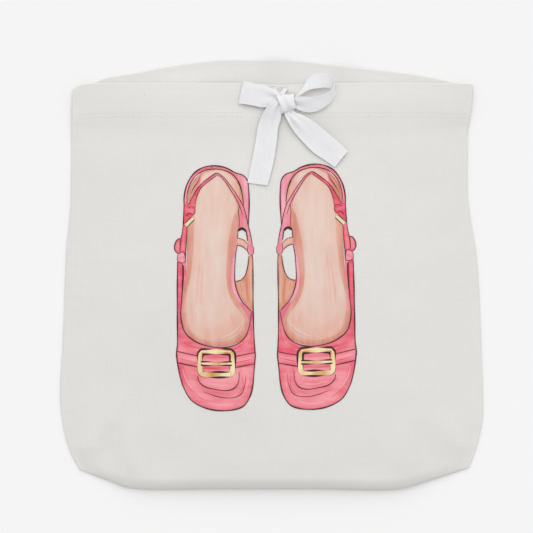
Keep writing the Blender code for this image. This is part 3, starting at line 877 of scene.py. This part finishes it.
def fill(drawing, ink, points, layer, brushes=(), smooth=True, shade=0.40, edge=0.35):
    """An area of ink inside an outline. Each brush is (path, width, how much deeper the ink is near it)."""
    outline = curve_through(points, True, 1.1) if smooth else corners(points, 1.1)
    low, high = outline.min(0), outline.max(0)
    step = 1.35
    gx, gy = np.meshgrid(np.arange(low[0], high[0], step), np.arange(low[1], high[1], step))
    gx = gx + 0.5 * step * (np.arange(gx.shape[0]) % 2)[:, None]
    places = np.stack([gx.ravel(), gy.ravel()], -1)
    places = places[inside(places, outline)]
    if len(places):
        places = places[gap_to_path(places, outline) > 0.5 * step]
    everything = np.concatenate([outline, places])
    ring = [(k, (k + 1) % len(outline)) for k in range(len(outline))]
    verts, _, faces, *_ = geometry.delaunay_2d_cdt([Vector(p) for p in everything], ring, [], 1, 1e-4)
    verts = np.array([tuple(v) for v in verts])
    deep = shade + edge * np.exp(-gap_to_path(verts, outline) / 1.1)
    for path, width, amount in brushes:
        stroke = curve_through(path, False, 1.0)
        deep = deep + amount * np.exp(-((gap_to_path(verts, stroke) / width) ** 2))
    drawing.append((ink, layer, verts, [tuple(f) for f in faces], deep))


def corners(points, step):
    """Places along the straight sides of an outline with corners."""
    made = []
    for a, b in zip(points, points[1:] + points[:1], strict=True):
        a, b = np.array(a, float), np.array(b, float)
        pieces = max(1, int(np.linalg.norm(b - a) / step))
        made += [a + (b - a) * k / pieces for k in range(pieces)]
    return np.array(made)


def line(drawing, path, width, layer=9, ink="line", taper=0.5, shade=0.7, sway=0.0):
    """A drawn line, thinner at its ends and a little uneven. sway is how much its tint changes along it."""
    closed = path[0] == path[-1] and len(path) > 3
    places = curve_through(path[:-1] if closed else path, closed, 0.9)
    if closed:
        places = np.concatenate([places, places[:1]])
    along = np.gradient(places, axis=0)
    if closed:
        along[0] = along[-1] = along[0] + along[-1]
    along /= np.maximum(np.linalg.norm(along, axis=1, keepdims=True), 1e-9)
    side = np.stack([-along[:, 1], along[:, 0]], -1)
    share = np.linspace(0, 1, len(places))
    thick = 1 - (1 - taper) * np.abs(2 * share - 1) ** 3
    thick = thick * (1 + 0.22 * np.sin(places[:, 0] * 0.31 + places[:, 1] * 0.23 + width * 9))
    half = (0.5 * width * (LINE_WEIGHT if ink == "line" else 1.0) * thick)[:, None]
    verts = np.concatenate([places + side * half, places - side * half])
    count = len(places)
    faces = [(k, k + count, k + 1 + count, k + 1) for k in range(count - 1)]
    tint = shade + sway * np.sin(places[:, 0] * 0.27 - places[:, 1] * 0.19 + 0.6)
    drawing.append((ink, layer, verts, faces, np.concatenate([tint, tint])))


def print_piece(name, patches, material, middle_x, middle_y, facing, lean):
    """All of a shoe's patches of one ink, laid on the front."""
    verts, faces, deep = [], [], []
    for layer, places, patch_faces, shade in patches:
        across, along = (PRINT_SCALE / 1000 * places).T
        x = middle_x + facing * across - lean * along
        y = middle_y + along + lean * facing * across
        z = front_height(x, y) + INK_LIFT + layer * LAYER_LIFT
        first = len(verts)
        verts += np.stack([x, y, z], -1).tolist()
        for face in patch_faces:
            corner = places[list(face)]
            (ax, ay), (bx, by) = corner[1] - corner[0], corner[2] - corner[0]
            order = face if (ax * by - ay * bx) * facing > 0 else face[::-1]
            faces.append(tuple(first + k for k in order))
        deep += shade.tolist()
    mesh = smooth_mesh(name, verts, faces)
    mesh.attributes.new("shade", "FLOAT", "POINT").data.foreach_set("value", deep)
    return new_object(name, mesh, material)


def insole(drawing):
    """The lining round the inside of the shoe, and the pale insole in it."""
    fill(drawing, "peach", [
        (-2, 80.2), (8, 78.6), (15.5, 74), (19.5, 66), (21, 55), (19.5, 45), (17.5, 36), (16, 27),
        (14, 17), (12.8, 8), (12.4, -4), (14.8, -14), (20.4, -23.2), (25.4, -32), (24.8, -41),
        (19.5, -49), (10, -53), (-2, -53.6), (-13, -50.5), (-20.5, -45), (-24.8, -37), (-25.8, -28),
        (-24.2, -15), (-22.2, -2), (-21.8, 12), (-21.6, 26), (-21.4, 38), (-22, 50), (-21, 62), (-17, 71),
        (-10, 77.5),
    ], 1, [
        ([(15, 44), (12.8, 30), (10.5, 14), (10, 2), (11, -12), (16, -23)], 2.0, 0.28),
        ([(-19.5, 36), (-20, 20), (-20.5, 4), (-22, -12)], 1.6, 0.22),
        ([(-24, -30), (-22, -41), (-12, -49.5), (2, -52.3), (14, -50.5), (22, -44), (24, -37)], 1.7, 0.28),
    ])
    fill(drawing, "skin", [
        (0.6, 75), (6, 71), (11, 63), (14.8, 56.5), (15.8, 50), (13.4, 44), (11.6, 36), (9.8, 26),
        (8.6, 16), (7.9, 3), (8.8, -8), (11.3, -16.7), (15.6, -24.2), (21.2, -31), (22, -36), (18.4, -43),
        (12.8, -47.5), (2, -49.8), (-6.9, -49), (-15, -45.4), (-19.1, -41), (-21.4, -33), (-22.6, -24),
        (-21.6, -12), (-19.2, -2), (-17.6, 12), (-16.6, 27), (-16.2, 40), (-15.2, 49), (-13.7, 58),
        (-11, 65.5), (-4, 72),
    ], 2, [
        ([(-12, -42), (-2, -45.5), (9, -43), (17, -35)], 8, 0.44), ([(-20, -24), (-18, -34)], 4, 0.30),
        ([(0, 60), (0, 30), (0, 0), (0, -20)], 8, -0.10), ([(13, 52), (10, 36), (7.5, 18)], 2.4, 0.20),
    ], shade=0.36, edge=0.30)
    line(drawing, [(-11.8, 9), (-14, -10), (-14.6, -24)], 1.0, 3, "peach", 0.3, 0.10)
    line(drawing, [(-9, 16), (-10.4, -4), (-11, -22)], 0.6, 3, "peach", 0.3, 0.05)
    line(drawing, [(11, -29), (13, -35), (14.5, -38)], 0.8, 3, "peach", 0.3, 0.25)
    line(drawing, [(21.5, -33), (17.5, -40), (10, -45), (2, -48)], 1.3, 3, "skin", 0.3, 0.38)
    line(drawing, [(20, -37), (15, -43.5), (7, -47), (-2, -49)], 0.8, 3, "peach", 0.3, 0.35)


def heel(drawing):
    """The cup of the heel and the band round it."""
    fill(drawing, "skin", [
        (-11, 74), (-5, 78), (2, 79.2), (9, 77), (14, 72.5), (17.5, 65), (18.7, 57), (17, 54.5),
        (13, 61.5), (8, 69.5), (3, 74.5), (0.6, 76), (-4, 73), (-9.5, 68.5), (-12, 70),
    ], 3, [
        ([(14, 68), (17, 58)], 2.5, 0.45), ([(-8, 74), (2, 77.5), (9, 74)], 2, -0.2),
    ])
    fill(drawing, "peach", [
        (-20.6, 55), (-20.8, 61), (-18.6, 68), (-14.6, 73), (-12.2, 74.6), (-11.4, 72), (-13.4, 66),
        (-16.5, 60),
    ], 3, [([(-19.5, 58), (-15, 71)], 2.0, 0.35)], shade=0.45)
    line(drawing, [(-18.6, 60), (-16.6, 67), (-13.6, 72.6)], 1.2, 4, "orange", 0.3, 0.45)
    line(drawing, [(16.6, 55), (18.2, 62), (17.2, 68)], 0.8, 4, "orange", 0.3, 0.45)
    fill(drawing, "pink", [
        (14.6, 77), (20.3, 75.2), (23.6, 71.4), (24.8, 64.8), (25.1, 55.5), (24.9, 46), (24.4, 38),
        (22.8, 34.2), (18.4, 35), (17.6, 39.5), (18.2, 45.5), (20.2, 50), (21, 56), (20.6, 62),
        (18.8, 68.5), (15.5, 73.5),
    ], 4, [
        ([(22.6, 70), (23, 56), (22.6, 40)], 1.6, -0.25), ([(20.6, 44), (19.6, 37)], 1.6, 0.35),
        ([(24.6, 66), (24.8, 50), (24, 40)], 0.9, 0.30),
    ])
    line(drawing, [
        (-23, 51), (-22.7, 59), (-21.2, 66.8), (-18, 73), (-13.6, 77.6), (-8, 80.4), (-2, 81.2),
    ], 2.4, 5, "rose", 0.8, 0.72)
    line(drawing, [(-8, 80.4), (-2, 81.2), (5, 80.6), (11, 78), (15.6, 74.2)], 2.0, 5, "rose", 0.5, 0.62)
    line(drawing, [(-22.9, 53), (-21.9, 64), (-18.5, 71.8), (-14, 76.4)], 0.7, 6, "pink", 0.2, 0.35)
    line(drawing, [(-11.1, 77.2), (-12.6, 70.6), (-15, 62), (-16.6, 57.4)], 1.5, 5, "rose", 0.5, 0.55)


def sling(drawing):
    """The strap that runs from one side round the back of the heel to the other, with its keepers."""
    fill(drawing, "rose", [
        (0.6, 76.7), (-4.1, 73.9), (-9.7, 69.6), (-13.9, 64.8), (-17.7, 58.3), (-21, 52.4), (-19, 50.2),
        (-16, 50.4), (-15.2, 54.6), (-13.7, 60.2), (-11.4, 65.3), (-7.6, 68.9), (-3.2, 72.4), (0.6, 75),
    ], 6, [([(-19, 53), (-15.5, 59), (-11.5, 66)], 1.1, 0.35)], shade=0.55)
    fill(drawing, "pink", [
        (0.6, 76.7), (5.3, 74.2), (9, 70), (12.8, 64.8), (16.5, 59.2), (20.3, 52.6), (22.4, 46),
        (24.2, 37.6), (26.1, 30), (27.4, 22.4), (24.8, 22), (24, 30), (22.5, 37.6), (20.5, 45.1),
        (18.2, 51.6), (14.7, 58.6), (10.9, 64.7), (7.1, 70.4), (3.4, 74.4), (0.6, 75),
    ], 6, [([(9, 68), (16, 57), (21.5, 44), (25, 28)], 0.8, -0.2)], shade=0.45)
    fill(drawing, "peach", [
        (16.3, 27.6), (20.3, 26.6), (23.2, 24.2), (25.4, 21.4), (23.6, 18.8), (22, 20.2), (19.6, 21.8),
        (16.2, 22.8),
    ], 5, [([(17, 23.4), (20, 22.4), (23.4, 19.8)], 0.8, 0.35)], shade=0.10, edge=0.2)
    fill(drawing, "pink", [
        (24.2, 23), (27, 23), (28.4, 20), (28.2, 16.5), (26.4, 14.9), (24.4, 16.4), (23.6, 19.6),
    ], 7, [([(26, 22), (26.4, 17)], 1.1, 0.4)])
    fill(drawing, "rose", [
        (-24, 52), (-21.2, 52.6), (-19.4, 50.6), (-15.8, 51), (-15.6, 47), (-18.6, 43.6), (-21.4, 40.6),
        (-23.4, 39), (-24.4, 43.5),
    ], 6, [
        ([(-20, 49), (-17.4, 48.6)], 1.0, -0.25), ([(-22, 45.6), (-19, 44.6)], 1.6, 0.45),
    ], shade=0.75)
    fill(drawing, "rose", [
        (-24.6, 39), (-21.6, 38.4), (-21.9, 28), (-22.6, 16.6), (-26.6, 16.4), (-26.3, 26), (-24.9, 34),
    ], 5, [([(-23.6, 36), (-24.6, 24), (-25, 17)], 0.8, -0.30)], shade=0.75)
    fill(drawing, "cream", [(-23.7, 38.2), (-17.7, 43.9), (-15.9, 42.1), (-21.9, 36.2)], 8, smooth=False)
    fill(drawing, "rose", [
        (-26.6, 27.4), (-28.8, 26.6), (-30.8, 22.6), (-30.6, 18.8), (-28.6, 16.4), (-26.6, 17.2),
    ], 5, [([(-28.5, 24), (-28.6, 19)], 1.0, -0.15)], shade=0.6)
    fill(drawing, "pink", [
        (-28.3, 15.6), (-24.2, 17.3), (-22.8, 11.6), (-24.4, 9.2), (-28.6, 11),
    ], 7, [([(-27.4, 12.2), (-24.2, 13.6)], 1.0, 0.4)])


def sides(drawing):
    """What shows beside the insole: the quarter and the topline on one side, and the strap on the other."""
    fill(drawing, "orange", [
        (15.4, -4.8), (19.3, -3.2), (22.2, 0.2), (24.2, 7), (25.6, 15.5), (27.6, 14.5), (28, 0),
        (28, -14), (27.3, -26.8), (24.6, -24.5), (20.5, -19), (16.9, -13),
    ], 4, [
        ([(27.3, 12), (27.5, -4), (27.2, -20)], 0.9, -0.45),
        ([(22.6, -3), (23.6, -12), (24.8, -20)], 0.8, 0.40),
        ([(19, -5), (20, -12), (22, -18)], 0.9, -0.30),
    ], shade=0.5)
    strokes = (18.6, -5, -13, 0.9), (21.4, -3, -17, 0.15), (23.4, 2, -20, 0.85), (25.6, 9, -21, 0.1)
    for x, top, foot, depth in strokes:
        line(drawing, [(x, top), (x + 0.5, (top + foot) / 2), (x + 1.2, foot)], 0.7, 5, "orange", 0.3, depth)
    fill(drawing, "pink", [
        (15.9, 27), (16.9, 24), (15.2, 16), (14.5, 6.7), (14.4, -4.3), (16.7, -13.4), (20.4, -20.3),
        (27.1, -27.5), (26.6, -32), (25.9, -36), (23.2, -29), (17.6, -20.6), (13.2, -13.6), (11.5, -5),
        (11.7, 4), (12.6, 12), (13.9, 19.5),
    ], 5, [
        ([(13.6, 12), (12.8, -2), (14.6, -13), (19.4, -21.6), (25.4, -30)], 0.8, -0.35),
        ([(16, -14.5), (22, -25), (26, -30)], 0.8, 0.2),
        ([(20.5, -21.5), (25, -29), (26.4, -34)], 2.2, 0.50),
    ])
    fill(drawing, "rose", [
        (-28.5, 9.6), (-25, 9), (-24.9, -4), (-25.3, -18), (-26.4, -28), (-28.6, -26), (-28.7, -8),
    ], 4, [([(-27.6, 5), (-27.6, -20)], 0.6, -0.25)], shade=0.85)
    line(drawing, [(-22.7, 17), (-23, 8), (-23.2, -2), (-24.4, -13)], 1.7, 4, "rose", 0.5, 0.62)
    line(drawing, [(-23.6, -4), (-24.6, -15), (-25.4, -27)], 1.2, 4, "rose", 0.5, 0.5)
    line(drawing, [(-24.4, 8), (-24.4, -3), (-25.2, -15)], 0.9, 5, "line", 0.3, 0.2)


def toe(drawing):
    """The front of the shoe, with its raised apron."""
    fill(drawing, "rose", [
        (-28.6, -14), (-28.8, -30), (-28.6, -50), (-29.2, -60), (-27.2, -74), (-24.4, -84),
        (-18.2, -94.2), (-6.9, -100.2), (7.1, -101.9), (19.4, -99.2), (25.1, -92.3), (27.7, -83.3),
        (28.8, -71), (29.4, -61.7), (29.2, -48.6), (28.5, -36), (27.9, -26.5), (26, -31), (25.5, -38),
        (22, -46.4), (14.4, -52.4), (3, -54.6), (-8, -52.8), (-16.6, -49), (-22.6, -43), (-25.8, -34),
        (-26.4, -24),
    ], 0, [
        ([(-27, -30), (-26, -46), (-22, -52)], 3.4, 0.26),
        ([(-20, -53), (-8, -58), (6, -60), (18, -56)], 4.5, 0.24),
        ([(-3, -76), (8, -77), (14, -73)], 8, -0.26),
        ([(-20, -76), (-16, -87), (-4, -95), (10, -97)], 3.5, -0.16),
        ([(22, -72), (21, -86), (14, -94)], 3, -0.12), ([(27, -50), (28, -64)], 2.4, 0.20),
        ([(-27, -62), (-24, -78), (-16, -91)], 1.6, 0.26),
        ([(-14, -79), (-6, -86.5), (10, -89)], 1.6, 0.22),
        ([(18, -70), (18.6, -80), (13, -87)], 1.5, 0.22),
    ], shade=0.48)
    strokes = (
        ((-24, -51), (-14, -54.6), (-4, -56.2), 1.3, 0.95), ((-20, -53.5), (-8, -57), (4, -58), 0.9, 0.80),
        ((4, -56.6), (14, -55.4), (22, -51), 1.2, 0.90),
        ((-27.4, -36), (-27.2, -46), (-24.5, -53), 1.6, 0.85),
        ((-2, -57.6), (9, -58), (18, -56), 0.7, 0.05), ((-17, -55.4), (-9, -57.6), (-3, -58.2), 0.6, 0.10),
        ((26.8, -36), (26.6, -46), (24, -53), 1.0, 0.80),
        ((-27.9, -12), (-27.6, -24), (-27.6, -34), 1.0, 0.90),
        ((-6, -72.6), (4, -73.6), (13, -72.4), 0.7, 0.75), ((-4, -78), (5, -79.4), (12, -78.4), 0.9, 0.15),
        ((-21, -80), (-17, -88), (-9, -94), 0.8, 0.75), ((20, -76), (20.4, -84), (16, -91), 0.9, 0.72),
        ((24, -72), (24.4, -80), (22, -88), 0.7, 0.15), ((-24.6, -68), (-22, -78), (-18, -85), 0.7, 0.70),
    )
    for *path, width, depth in strokes:
        line(drawing, path, width, 1, "rose", 0.15, depth)
    line(drawing, [
        (-13.4, -76), (-12.6, -80), (-8, -84), (0, -86), (8, -86.8), (14, -85), (17.2, -80), (17.6, -73),
    ], 0.55)
    line(drawing, [
        (-10, -87.4), (2, -91.5), (12, -92.3), (19, -89.5), (22, -82), (22.6, -75),
    ], 0.4, taper=0.2, shade=0.3)
    line(drawing, [(-25, -70), (-22.6, -78), (-17, -87)], 0.9, 2, "rose", 0.2, 0.05)
    line(drawing, [(-8, -81), (2, -83), (10, -82.6)], 1.3, 2, "rose", 0.2, 0.0)
    line(drawing, [(-6, -96), (5, -98), (15, -96)], 1.1, 2, "rose", 0.2, 0.05)


def toe_strap(drawing):
    """A plain strap over the toe with a plain buckle."""
    fill(drawing, "rose", [
        (-29.2, -57.4), (-18, -60), (-6, -61.6), (8, -62), (20, -60.4), (29.3, -58.4), (28.9, -66.4),
        (20, -69.2), (8, -70.8), (-6, -70.6), (-18, -68.6), (-28.2, -65.8),
    ], 5, [
        ([(-26, -61), (0, -65), (27, -62)], 1.6, -0.30),
        ([(-26, -65.4), (0, -69.6), (26, -66.4)], 1.2, 0.30),
    ])
    for high, low in ((-57.4, -60.9), (-65.8, -69.3)):
        line(drawing, [(-29, high), (-21, 0.5 * (high + low)), (-12.8, low)], 0.6, 6)
        line(drawing, [(13.6, low - 0.4), (21, 0.5 * (high + low) - 0.7), (29.3, high - 0.8)], 0.6, 6)
    line(drawing, [(-27, -62.8), (-20, -64.6), (-13, -66.2)], 0.5, 6, "rose", 0.3, 0.95)
    line(drawing, [(14, -66), (21, -64.6), (28, -62.8)], 0.5, 6, "rose", 0.3, 0.95)
    buckle = rounded_box(0.5, -66.2, 12.2, 8.6, 3.2)
    line(drawing, buckle, 4.1, 7, "line", 1.0, 0.6)
    line(drawing, buckle, 3.0, 8, "gold", 1.0, 0.45, 0.40)
    line(drawing, rounded_box(0.1, -65.7, 12.0, 8.5, 3.2)[:9], 0.8, 9, "gold", 0.4, 0.0)
    line(drawing, [(-11.2, -66.4), (0.5, -66.7), (12.2, -66.4)], 2.9, 9, "line", 0.9, 0.6)
    line(drawing, [(-11.4, -66.4), (0.5, -66.7), (12.4, -66.4)], 1.9, 10, "gold", 0.9, 0.4, 0.3)


def rounded_box(x, y, half_wide, half_high, corner):
    """A closed path round a box with rounded corners."""
    path = []
    for turn in range(4):
        for angle in (0, 45, 90):
            a = math.radians(90 * turn + angle)
            path.append((
                x + (1 if turn in (0, 3) else -1) * (half_wide - corner) + corner * math.cos(a),
                y + (1 if turn in (0, 1) else -1) * (half_high - corner) + corner * math.sin(a),
            ))
    return path + path[:1]


def outlines(drawing):
    """The drawn lines round the parts, each (width, how much of it is left at its ends, path)."""
    lines = (
        (0.75, 0.8, [
            (-24.4, 38), (-23.9, 51.2), (-23.9, 58.3), (-22.5, 65.8), (-19.7, 72.4), (-15.4, 77.7),
            (-9.7, 81), (-3.2, 82.4), (3.4, 81.9), (9, 80.2), (14.6, 77.2), (20.3, 75.3), (23.7, 71.4),
            (24.8, 64.8), (25.2, 55.5), (25, 46), (24.6, 37.6),
        ]),
        (0.5, 0.5, [
            (-21.4, 53.6), (-21.6, 60.1), (-19.7, 67.6), (-16.4, 73.4), (-11.6, 77.4), (-6, 79.5),
            (0.6, 79.9), (6.2, 79), (11.8, 76.5), (16.5, 71.3), (18.9, 65.8), (20.4, 58.3), (20.9, 52.5),
        ]),
        (0.5, 0.8, [
            (-21.2, 52.2), (-17.7, 58.3), (-13.9, 64.9), (-9.7, 69.7), (-4.1, 74), (0.6, 76.8),
            (5.3, 74.3), (9, 70.1), (12.8, 64.9), (16.5, 59.3), (20.4, 52.6), (22.6, 46), (24.4, 37.6),
            (26.3, 30), (27.6, 23),
        ]),
        (0.4, 0.5, [
            (-15.4, 50.8), (-15.3, 54.6), (-13.8, 60.2), (-11.4, 65.2), (-7.6, 68.8), (-3.2, 72.2),
            (0.4, 74.9),
        ]),
        (0.35, 0.5, [
            (1, 74.9), (3.4, 74.4), (7.1, 70.3), (10.9, 64.6), (14.7, 58.5), (18.1, 51.6), (20.4, 45.1),
        ]),
        (0.35, 0.5, [(17.6, 52), (17.2, 47), (17.8, 40), (17.4, 35)]),
        (0.5, 0.2, [(16, 70.8), (18.4, 66.6), (20, 60), (20.6, 54.6)]),
        (0.4, 0.2, [(-18.9, 60.6), (-16.6, 66), (-13.2, 70.6), (-11.6, 75)]),
        (0.6, 0.5, [(22.7, 34), (23.4, 30), (24, 25.6)]),
        (0.45, 0.5, [(16.6, 33.6), (16.7, 30), (16.2, 27.4)]),
        (0.4, 0.5, [(16.2, 27.9), (20.4, 26.8), (23.3, 24.4), (24.4, 22.6)]),
        (0.5, 0.5, [(16.4, 22.6), (19.7, 21.6), (22, 20), (23.6, 18.4)]),
        (0.55, 0.5, [
            (16.2, 22.4), (15, 15.2), (14.5, 6.7), (14.4, -4.1), (16.6, -13.3), (20.4, -20.2),
            (26.8, -27.2),
        ]),
        (0.55, 0.5, [(14.6, -4.6), (17.4, -4.4), (20, -2.8), (22.4, 0.4), (24.2, 7), (24.9, 14.6)]),
        (0.65, 0.8, [(27.6, 15), (28, 8), (28.1, -8), (28.2, -24), (28.6, -40), (29.2, -52), (29.9, -61)]),
        (0.4, 0.5, [(25.2, 15.4), (24, 18.4), (24.4, 22.4)]),
        (0.45, 0.5, [(27.4, 22.8), (28.6, 20), (28.3, 16.4), (26.6, 14.8)]),
        (0.45, 0.5, [(-16, 51), (-15.5, 48.6), (-15.9, 46.6), (-17.6, 45)]),
        (0.35, 0.5, [(-21, 50.4), (-18.4, 51.6), (-16, 51)]),
        (0.5, 0.5, [(-22.6, 44.2), (-19.8, 46.6), (-17.8, 45.2)]),
        (0.45, 0.5, [(-23.8, 38.2), (-20.8, 41.2), (-17.7, 44)]),
        (0.45, 0.5, [(-21.9, 36), (-18.8, 39), (-15.8, 42)]),
        (0.5, 0.5, [(-24.6, 38.4), (-25.2, 32), (-26.4, 26), (-27, 18)]),
        (0.45, 0.5, [(-21.5, 36.4), (-21.9, 28), (-22.6, 17), (-22.9, 10)]),
        (0.6, 0.5, [(-26.4, 27.4), (-28.8, 26.8), (-30.9, 22.6), (-30.7, 18.8), (-28.6, 16.2)]),
        (0.45, 0.9, [
            (-28.4, 15.8), (-24.2, 17.4), (-22.8, 11.6), (-24.4, 9.1), (-28.7, 10.8), (-28.5, 15.6),
        ]),
        (0.7, 0.9, [
            (-28.7, 10), (-28.9, -8), (-28.9, -30), (-28.8, -50), (-29.4, -60), (-27.4, -74),
            (-24.5, -84),
        ]),
        (0.75, 0.7, [
            (-26.9, -76), (-24.5, -84), (-18.2, -94.4), (-6.9, -100.4), (7.1, -102.1), (19.5, -99.4),
            (25.3, -92.4), (27.9, -83.3), (29, -71), (29.8, -61),
        ]),
        (0.6, 0.5, [
            (-25, 8.6), (-24.9, -4), (-25.4, -18), (-26.2, -30), (-24.4, -40), (-20, -46.4), (-12, -51.4),
            (-2, -54), (8, -54.2), (17, -51.2), (22.8, -45.4), (25.6, -37), (26.9, -28),
        ]),
    )
    for width, taper, path in lines:
        line(drawing, path, width, taper=taper)
    line(drawing, [(16.9, 33.2), (18.6, 34.8), (20.8, 34.7), (22.9, 32.8)], 1.5, shade=1.3)


def shoe_print():
    """Both printed shoes, one piece for each ink. Rose is brushed across the shoe, and the rest along it."""
    inks = {}
    for name, (light, deep) in INKS.items():
        strokes_run = (0.22, 1, 1) if name == "rose" else (1, 0.16, 1)
        inks[name] = ink_material(f"ink_{name}", srgb(*light), srgb(*deep), strokes_run)
    drawing = []
    for part in (toe, insole, heel, sides, sling, toe_strap, outlines):
        part(drawing)
    for side, place in SHOES.items():
        for ink, material in inks.items():
            patches = [patch[1:] for patch in drawing if patch[0] == ink]
            piece = print_piece(f"print_{side}_{ink}", patches, material, *place)
            follow_mouth(piece, "centre")


# ---------------------------------------------------------------- stage
def floor():
    """A plain pale surface, out past the camera's view."""
    material, _, shader = new_material("floor", 1.0, 0.0)
    shader.inputs["Base Color"].default_value = FLOOR_COLOUR
    reach = 6.0
    square = [(-reach, -reach, 0), (reach, -reach, 0), (reach, reach, 0), (-reach, reach, 0)]
    new_object("floor", smooth_mesh("floor", square, [(0, 1, 2, 3)]), material)


def lights():
    """An even white surrounding, and one wide soft light from the mouth's side."""
    world = bpy.data.worlds.new("soft room")
    bpy.context.scene.world = world
    world.use_nodes = True
    background = world.node_tree.nodes["Background"]
    background.inputs["Color"].default_value = (1.0, 1.0, 1.0, 1)
    background.inputs["Strength"].default_value = 0.645
    data = bpy.data.lights.new("window", "SUN")
    data.energy = 1.475
    data.angle = math.radians(80)
    lamp = new_object("window", data)
    lamp.rotation_euler = Vector((0.06, 0.76, 1.00)).to_track_quat("Z", "Y").to_euler()


def camera():
    """Straight above the bag, with the mouth at the top of the picture."""
    distance, across = 2.0, 0.39975         # the picture's width on the floor
    data = bpy.data.cameras.new("camera")
    data.sensor_width = 36
    data.lens = 36 * distance / across
    data.clip_end = 20
    cam = new_object("camera", data)
    cam.location = (-0.00375, 0.0065, distance)     # over the middle of the picture
    bpy.context.scene.camera = cam
    bpy.context.scene.view_settings.view_transform = "Standard"


def main():
    """Builds the whole scene."""
    camera()
    lights()
    canvas = cloth_material("canvas", CANVAS_COLOUR, CANVAS_PITCH, CANVAS_SLUB, 0.00016, 0.95, 0.022, 0.10)
    ribbon = cloth_material("ribbon", RIBBON_COLOUR, 0.00022, 0.15, 0.00004, 0.62, 0.008, 0.15)
    let_light_through(ribbon, 0.35, 0.0010)
    thread_colour = [1.12 * c for c in CANVAS_COLOUR]
    thread = cloth_material("thread", thread_colour, 0.00015, 0.2, 0.00005, 0.80, 0.015, 0.10)
    floor()
    front(canvas)
    back(canvas)
    seam_allowances(canvas, thread)
    hem_stitching(thread)
    shoe_print()
    bow(ribbon)
    casing_ribbon(ribbon)
    buttonholes(thread)


main()
